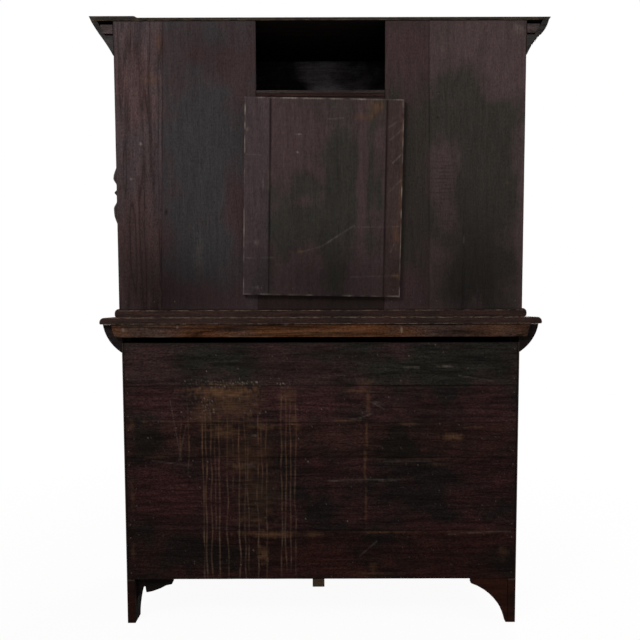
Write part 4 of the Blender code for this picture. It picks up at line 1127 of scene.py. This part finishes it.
# The warm colour of this finish is the painted grey light.
frieze_light_oak = aged_oak("painted_light_frieze_oak", "#777175", "#282325", "X", roughness=0.8, painted=True)
bm = planed_board(*x_edges("frieze_rail"), (low.z, high.z), (low.y, high.y), FRIEZE_STEP, frieze_marks)
bm.normal_update()
for face in bm.faces:
    face.material_index = int(face.normal.y < 0.5)
add_piece("frieze_rail_planed", bm, [frieze_light_oak, show_oak["X"]], "case", ["frieze_rail"])
print("frieze", round(high.z - low.z, 3), "m high")

# %% [markdown]
# A thin batten behind the frieze stops the hutch doors, so no daylight shows over their heads. It ends
# short of the hinges, where the doors' corners swing in.

# %% Door stop
STOP_LENGTH, STOP_THICK, STOP_HEIGHT = 1.160, 0.0105, 0.036
STOP_EASED = 0.0020

low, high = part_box("frieze_rail")
sizes = Matrix.Diagonal((STOP_LENGTH, STOP_THICK, STOP_HEIGHT, 1.0))
bm = bmesh.new()
bmesh.ops.create_cube(
    bm, size=1.0, matrix=Matrix.Translation((0.0, high.y + STOP_THICK / 2, low.z)) @ sizes)
free = [edge for edge in bm.edges if all(vert.co.y > high.y + STOP_EASED for vert in edge.verts)]
bevelled(bm, free, STOP_EASED, 3)
add_piece("hutch_door_stop", bm, [inside_oak["X"]], "case")
print("door stop", STOP_LENGTH, "m long")

# %% [markdown]
# ## Mouldings, cornice and rounded boards
# The solids already have these shapes, as mitred profiles with a dozen facets. A merged copy, shaded
# smooth across the small angles and sharp across the large ones, reads as one planed curve. Their sawn
# ends, which the back view shows, are dull and grey, and so are the glue blocks behind the cornice. The
# waist moulding's ends are darker, painted shade under the waist rail, with a thin painted highlight
# along their top where light shows in the gap under the waist board. The boards of the waist and the
# top are jointed planks with rubbed edges.

# %% Mouldings and cornice
BLOCK_LENGTH, BLOCK_REACH = 0.0605, 0.0405
BLOCK_LEVELS = (0.0100, 0.0378)
# Depth of the painted highlight band along the top of the waist moulding's ends.
HIGHLIGHT_BAND = 0.0024
MOULDED = {
    "waist_moulding_front": "X", "waist_moulding_left": "Y", "waist_moulding_right": "Y",
    "cornice_front": "X", "cornice_left": "Y", "cornice_right": "Y",
}
end_oak = aged_oak("sawn_end_oak", "#363332", "#282625", "X", roughness=0.8)
block_oak = aged_oak("glue_block_oak", "#4c4140", "#3d3534", "X", roughness=0.8)
# Painted shade for the waist moulding's ends under the rail, and a painted highlight for the gap above
# them.
waist_end_shade = aged_oak("painted_shade_end_oak", "#2a2322", "#151110", "X", roughness=0.8)
gap_highlight = aged_oak("painted_gap_highlight", "#c8c2b8", "#8f877c", "X", roughness=0.9)


def moulding_rule(node):
    """A rule that picks a moulding's long faces, its end, and the glue block or painted highlight there.
    """
    low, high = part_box(node)
    wall = min(abs(low.x), abs(high.x))

    def rule(normal, spot):
        at_end = normal.y > FACING and spot.y > high.y - BLOCK_LENGTH
        drop = high.z - spot.z
        # A waist moulding's end is painted shade under the rail, with a painted highlight band along its
        # top.
        if node.startswith("waist"):
            return 2 if at_end and drop < HIGHLIGHT_BAND else int(at_end)
        reach = abs(spot.x) - wall
        square = abs(normal.x) + abs(normal.y) + abs(normal.z) < 1.01
        behind = spot.y > high.y - BLOCK_LENGTH and 0.001 < reach < BLOCK_REACH
        return 2 if square and behind and BLOCK_LEVELS[0] < drop < BLOCK_LEVELS[1] else int(at_end)
    return rule


for node, grain in MOULDED.items():
    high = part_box(node)[1]
    if node.endswith("_front"):
        dressed(node, [show_oak[grain]])
    elif node.startswith("waist"):
        dressed(node, [show_oak[grain], waist_end_shade, gap_highlight], moulding_rule(node), cuts=[(2, high.z - HIGHLIGHT_BAND)])
    else:
        dressed(node, [show_oak[grain], end_oak, block_oak], moulding_rule(node))
print("mouldings:", len(MOULDED))

# %% Waist board, hutch floor and hutch top
rubbed_oak = aged_oak(
    "rubbed_dark_oak", "#2f1d18", "#1f1613", "X", contrast=0.5, fine=0.3, roughness=0.55, gloss=0.08,
    wear=0.95, worn="#84705f", specks=0.9)
greyed_oak = aged_oak(
    "greyed_dark_oak", "#332c27", "#242120", "X", gloss=0.05, wear=0.80, worn="#8a7150")
UP = Vector((0.0, 0.0, 1.0))
WAIST_JOINTS = (-0.175, 0.020)
TOP_JOINTS = (-0.020, 0.130)

dressed("waist_top", [rubbed_oak], joints=[(1, level, UP) for level in WAIST_JOINTS])
dressed("hutch_floor", [rubbed_oak])
dressed(
    "hutch_top", [greyed_oak, inside_oak["X"]], lambda normal, spot: normal.z < -0.5,
    joints=[(1, level, UP) for level in TOP_JOINTS])
print("boards with rubbed edges in", rubbed_oak.name)

# %% [markdown]
# ## The split spindle
# On the side that is at the left of the picture, near its back edge, sits an applied split spindle: a
# turning sawn in half along its length and glued on, with two bulbs and a ring between them. A turner's
# shape is a profile spun round an axis. Only its beads and hollows are given here; an easy curve joins
# each to the next. The profile is spun through half a turn and closed at the back.

# %% Split spindle
SPINDLE_MIDDLE = 1.4064
SPINDLE_INSET = 0.027
SPINDLE_STEPS = 18
CURVE_STEPS = 5
SPINDLE_TURNS = (
    (0.113, 0.0075), (0.1065, 0.0106), (0.0985, 0.0083), (0.0445, 0.0214), (0.024, 0.0120),
    (0.010, 0.0121), (0.0, 0.0186), (-0.010, 0.0121), (-0.026, 0.0121), (-0.0505, 0.0217),
    (-0.064, 0.0213), (-0.118, 0.0082), (-0.1235, 0.0106), (-0.130, 0.0075),
)


def turned(turns):
    """A turner's profile: beads and hollows, each a place and a radius, joined by easy curves."""
    points = [turns[0]]
    for (start, thick), (end, thin) in zip(turns, turns[1:]):
        for step in range(1, CURVE_STEPS + 1):
            share = step / CURVE_STEPS
            ease = (1 - math.cos(math.pi * share)) / 2
            points.append((start + (end - start) * share, thick + (thin - thick) * ease))
    return points


def spun(points, centre, axis, angle, steps, **closing):
    """A bmesh of a chain of points spun round an axis."""
    bm = bmesh.new()
    chain = [bm.verts.new(point) for point in points]
    for first, second in zip(chain, chain[1:]):
        bm.edges.new((first, second))
    bmesh.ops.spin(
        bm, geom=bm.verts[:] + bm.edges[:], cent=centre, axis=axis, angle=angle, steps=steps, **closing)
    bmesh.ops.remove_doubles(bm, verts=bm.verts, dist=WELD)
    return bm


low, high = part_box("hutch_side_right")
axis_x, axis_y = high.x, high.y - SPINDLE_INSET
spindle_top, spindle_foot = SPINDLE_TURNS[0][0], SPINDLE_TURNS[-1][0]
profile = [(spindle_top, 0.0), *turned(SPINDLE_TURNS), (spindle_foot, 0.0)]
bm = spun(
    [(axis_x, axis_y - radius, SPINDLE_MIDDLE + rise) for rise, radius in profile],
    (axis_x, axis_y, 0.0), UP, math.pi, SPINDLE_STEPS)
bmesh.ops.holes_fill(bm, edges=[edge for edge in bm.edges if edge.is_boundary], sides=0)
add_piece("split_spindle", bm, [show_oak["Z"]], "case")
print("spindle", round(spindle_top - spindle_foot, 3), "m long")

# %% [markdown]
# ## Doors
# A framed door is four timbers: two stiles that run its full height and two rails between them, joined
# by tenons and held by oak pegs. Its solid is one grooved frame, so each timber is sawn from a merged
# copy at the line of the joint, the cut closed, and its front and back arrises taken off, which draws
# the joint as a fine line. Stiles have upright grain and rails level grain. The panel is left in one
# piece, loose in its groove as a real one is.

# %% Sawing timbers from a solid
SEAM = 0.0005


def sawn(node, cuts):
    """What is left of a solid after saw cuts, each an axis, a level and the way that falls off."""
    bm = merged_copy(node)
    low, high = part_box(node)
    for axis, level, away in cuts:
        bmesh.ops.holes_fill(bm, edges=bisected(bm, axis, level, away, clear=True), sides=0)
        arrises = []
        for edge in bm.edges:
            on_cut = all(abs(vert.co[axis] - level) < WELD for vert in edge.verts)
            outside = any(
                all(abs(vert.co[way] - face[way]) < WELD for vert in edge.verts)
                for way in range(3) if way != axis for face in (low, high))
            if on_cut and outside:
                arrises.append(edge)
        bevelled(bm, arrises, SEAM, 1)
    return bm


def joined(parts):
    """One bmesh that holds several."""
    whole = bmesh.new()
    for part in parts:
        mesh = bpy.data.meshes.new("timber")
        part.to_mesh(mesh)
        part.free()
        whole.from_mesh(mesh)
        bpy.data.meshes.remove(mesh)
    return whole


print("joint lines", 2000 * SEAM, "mm wide")

# %% Stiles and rails
TONGUE = 0.0078
STUB = 0.0002
PEG_RADIUS = 0.0038
PEG_SPREAD = 0.016
PEG_INSET = 0.020
PEG_SIDES = 9
PEG_TAPER = 0.8
PEG_LENGTH = 0.0016
PEG_SUNK = 0.0003
PEG_TURN = 23.0
PEG_WOOD = 4
MEETING_GAP = 0.004
MEETING_REACH = 0.0002
DOORS = ("hutch_door_left", "hutch_door_right", "base_door_left", "base_door_right")


def pegged(bm, places, face):
    """Add the ends of oak pegs, a little proud of a face that looks along -Y."""
    for x, z in places:
        turn = Matrix.Rotation(math.pi / 2, 4, "X") @ Matrix.Rotation(PEG_TURN * x + z, 4, "Z")
        made = bmesh.ops.create_cone(
            bm, cap_ends=True, segments=PEG_SIDES, radius1=PEG_RADIUS, radius2=PEG_TAPER * PEG_RADIUS,
            depth=PEG_LENGTH, matrix=Matrix.Translation((x, face + PEG_SUNK, z)) @ turn)
        for side in {side for vert in made["verts"] for side in vert.link_faces}:
            side.material_index = PEG_WOOD


def framed(door):
    """The four timbers of a door's frame, with the pegs of their joints."""
    node = door + "_frame"
    low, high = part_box(node)
    panel_low, panel_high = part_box(door + "_panel")
    window_low, window_high = panel_low.x + TONGUE + STUB, panel_high.x - TONGUE - STUB
    stiles = [sawn(node, [(0, window_low, 1.0)]), sawn(node, [(0, window_high, -1.0)])]
    rails = [sawn(node, [(0, window_low, -1.0), (0, window_high, 1.0)])]
    for numbers, timbers in (((0, 1), stiles), ((2, 3), rails)):
        for timber in timbers:
            timber.normal_update()
            for face in timber.faces:
                face.material_index = numbers[int(face.normal.y > 0.5)]
    bm = joined(stiles + rails)
    for vert in bm.verts:
        if abs(vert.co.x) < MEETING_GAP:
            vert.co.x -= math.copysign(MEETING_REACH, low.x + high.x)
    places = []
    for rail in ((low.z + panel_low.z) / 2, (high.z + panel_high.z) / 2):
        for x in (window_low - PEG_INSET, window_high + PEG_INSET):
            places += [(x, rail - PEG_SPREAD), (x, rail + PEG_SPREAD)]
    pegged(bm, places, low.y)
    return bm


for door in DOORS:
    woods = [show_oak["Z"], inside_oak["Z"], show_oak["X"], inside_oak["X"], brown_oak["Y"]]
    add_piece(door + "_joined_frame", framed(door), woods, door, [door + "_frame"])
    dressed(door + "_panel", upright, lambda normal, spot: normal.y > 0.5, body=door)
print("doors:", len(DOORS))

# %% [markdown]
# ## Drawers
# The drawer's walls are thin raw boards, dovetailed to the front. The box is sawn into its walls, back
# and bottom as the doors were, each with its own grain. The tails are thin wedges let into the ends of
# the front.

# %% Drawer boxes
WALL, BOTTOM = 0.0118, 0.0088
TAILS = 4
TAIL_LENGTH = 0.013
TAIL_SPREAD = 0.0035
TAIL_PROUD = 0.00025


def tail(bm, x, side, rear, z, half):
    """Add one dovetail on a drawer front's end: wide at its front end, narrow where the wall begins."""
    wide, tip = half + TAIL_SPREAD, rear - TAIL_LENGTH
    outline = ((rear, -half), (tip, -wide), (tip, wide), (rear, half))
    face = bm.faces.new([bm.verts.new((x - side * TAIL_PROUD, y, z + rise)) for y, rise in outline])
    moved = bmesh.ops.extrude_face_region(bm, geom=[face])["geom"]
    corners = [item for item in moved if isinstance(item, bmesh.types.BMVert)]
    bmesh.ops.translate(bm, vec=(2 * side * TAIL_PROUD, 0.0, 0.0), verts=corners)


def boxed(drawer):
    """The walls, back and bottom of a drawer, and the tails of its front joints."""
    node = drawer + "_box"
    low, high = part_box(node)
    left, right = low.x + WALL, high.x - WALL
    walls = [sawn(node, [(0, left, 1.0)]), sawn(node, [(0, right, -1.0)])]
    between = [(0, left, -1.0), (0, right, 1.0)]
    back = sawn(node, between + [(1, high.y - WALL, -1.0), (2, low.z + BOTTOM, -1.0)])
    bottom = sawn(node, between + [(2, low.z + BOTTOM, 1.0)])
    for part in (back, bottom):
        for face in part.faces:
            face.material_index = 1
    bm = joined(walls + [back, bottom])
    front_low, front_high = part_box(drawer + "_front")
    pitch = (high.z - low.z) / TAILS
    for number in range(TAILS):
        level = low.z + pitch * (number + 0.5)
        for x, side in ((front_low.x, -1.0), (front_high.x, 1.0)):
            tail(bm, x, side, front_high.y, level, pitch / 2 - 2 * TAIL_SPREAD)
    return bm


for drawer in ("drawer_left", "drawer_right"):
    woods = [raw_oak["Y"], raw_oak["X"]]
    add_piece(drawer + "_joined_box", boxed(drawer), woods, drawer, [drawer + "_box"])
    dressed(drawer + "_front", level_wood, lambda normal, spot: normal.y > 0.5, body=drawer)
print("drawers: 2, with", TAILS, "tails at each end")

# %% [markdown]
# ## Knobs
# The knobs are turned oak with a domed face, a ring cut round it, a slim neck and a flange against the
# door. As on the lathe, a half profile is spun round the axis: a quarter of an ellipse for the dome,
# the same easy curves as on the spindle for the stem, and a spigot let into the wood.

# %% Turned knobs
KNOB_STEPS = 32
SPIGOT = 0.014
KNOB_RADIUS, KNOB_SWELL, KNOB_REACH = 0.0159, 0.0225, 0.0320
DOME_STEPS = 16
RING_STEP = 6
RING_DEPTH = 0.0009
STEM_TURNS = ((KNOB_SWELL, KNOB_RADIUS), (0.0076, 0.0080), (0.0028, 0.0130), (0.0003, 0.0121))
SPIGOT_RADIUS = 0.0048
SPIGOT_END = -0.0138
knob_oak = aged_oak(
    "polished_oak_knob", "#33231b", "#261a15", "Y", roughness=0.34, gloss=0.4, wear=0.5, worn="#5a4230")


def knob_profile():
    """A knob's dome with its ring, its stem and its spigot, each point a reach and a radius."""
    dome = []
    for step in range(DOME_STEPS):
        angle = math.pi / 2 * step / DOME_STEPS
        reach = KNOB_SWELL + (KNOB_REACH - KNOB_SWELL) * math.cos(angle)
        dome.append((reach - RING_DEPTH * (step == RING_STEP), KNOB_RADIUS * math.sin(angle)))
    flange = STEM_TURNS[-1][0]
    spigot = [(flange, SPIGOT_RADIUS), (SPIGOT_END, SPIGOT_RADIUS), (SPIGOT_END, 0.0)]
    return dome + turned(STEM_TURNS) + spigot


def turned_knob(node):
    """A knob's profile spun round its axis, which runs along Y."""
    low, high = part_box(node)
    middle = (low + high) / 2
    face = high.y - SPIGOT
    points = [(middle.x + radius, face - reach, middle.z) for reach, radius in knob_profile()]
    return spun(points, middle, (0.0, 1.0, 0.0), 2 * math.pi, KNOB_STEPS, use_merge=True)


for owner in DOORS + ("drawer_left", "drawer_right"):
    node = owner + "_knob"
    add_piece(node + "_turned", turned_knob(node), [knob_oak], owner, [node])
print("knobs turned in", KNOB_STEPS, "steps")

# %% [markdown]
# ## The rest of the case
# The apron, the brackets, the bearer and the pins keep their solids. Each gets the finish whose grain
# runs along it.

# %% Finishes on the kept solids
bearer_oak = aged_oak("dusty_oak_bearer", "#40342a", "#332a21", "Y", contrast=0.2)
KEPT = {
    "front_apron": show_oak["X"], "rear_bracket_left": foot_oak, "rear_bracket_right": inside_oak["X"],
    "centre_bearer": bearer_oak,
}
for name, finish in KEPT.items():
    nodes[name].material_slots[0].material = finish
for name, solid in nodes.items():
    if name.endswith(("_pin_top", "_pin_bottom")):
        solid.material_slots[0].material = forged_iron
print("kept solids:", sorted(name for name, solid in nodes.items() if not solid.hide_render))

# %% [markdown]
# ## Size
# Both boxes, the CAD model's and the dressed model's, are gathered, and the dressed one's size is printed.
# The dressed model may not outgrow the CAD model.

# %% Finish
low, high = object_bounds()
sizes = {"cad": [list(cad_low), list(cad_high)], "visual": [list(low), list(high)]}
print("visual box", [round(v, 4) for v in high - low])
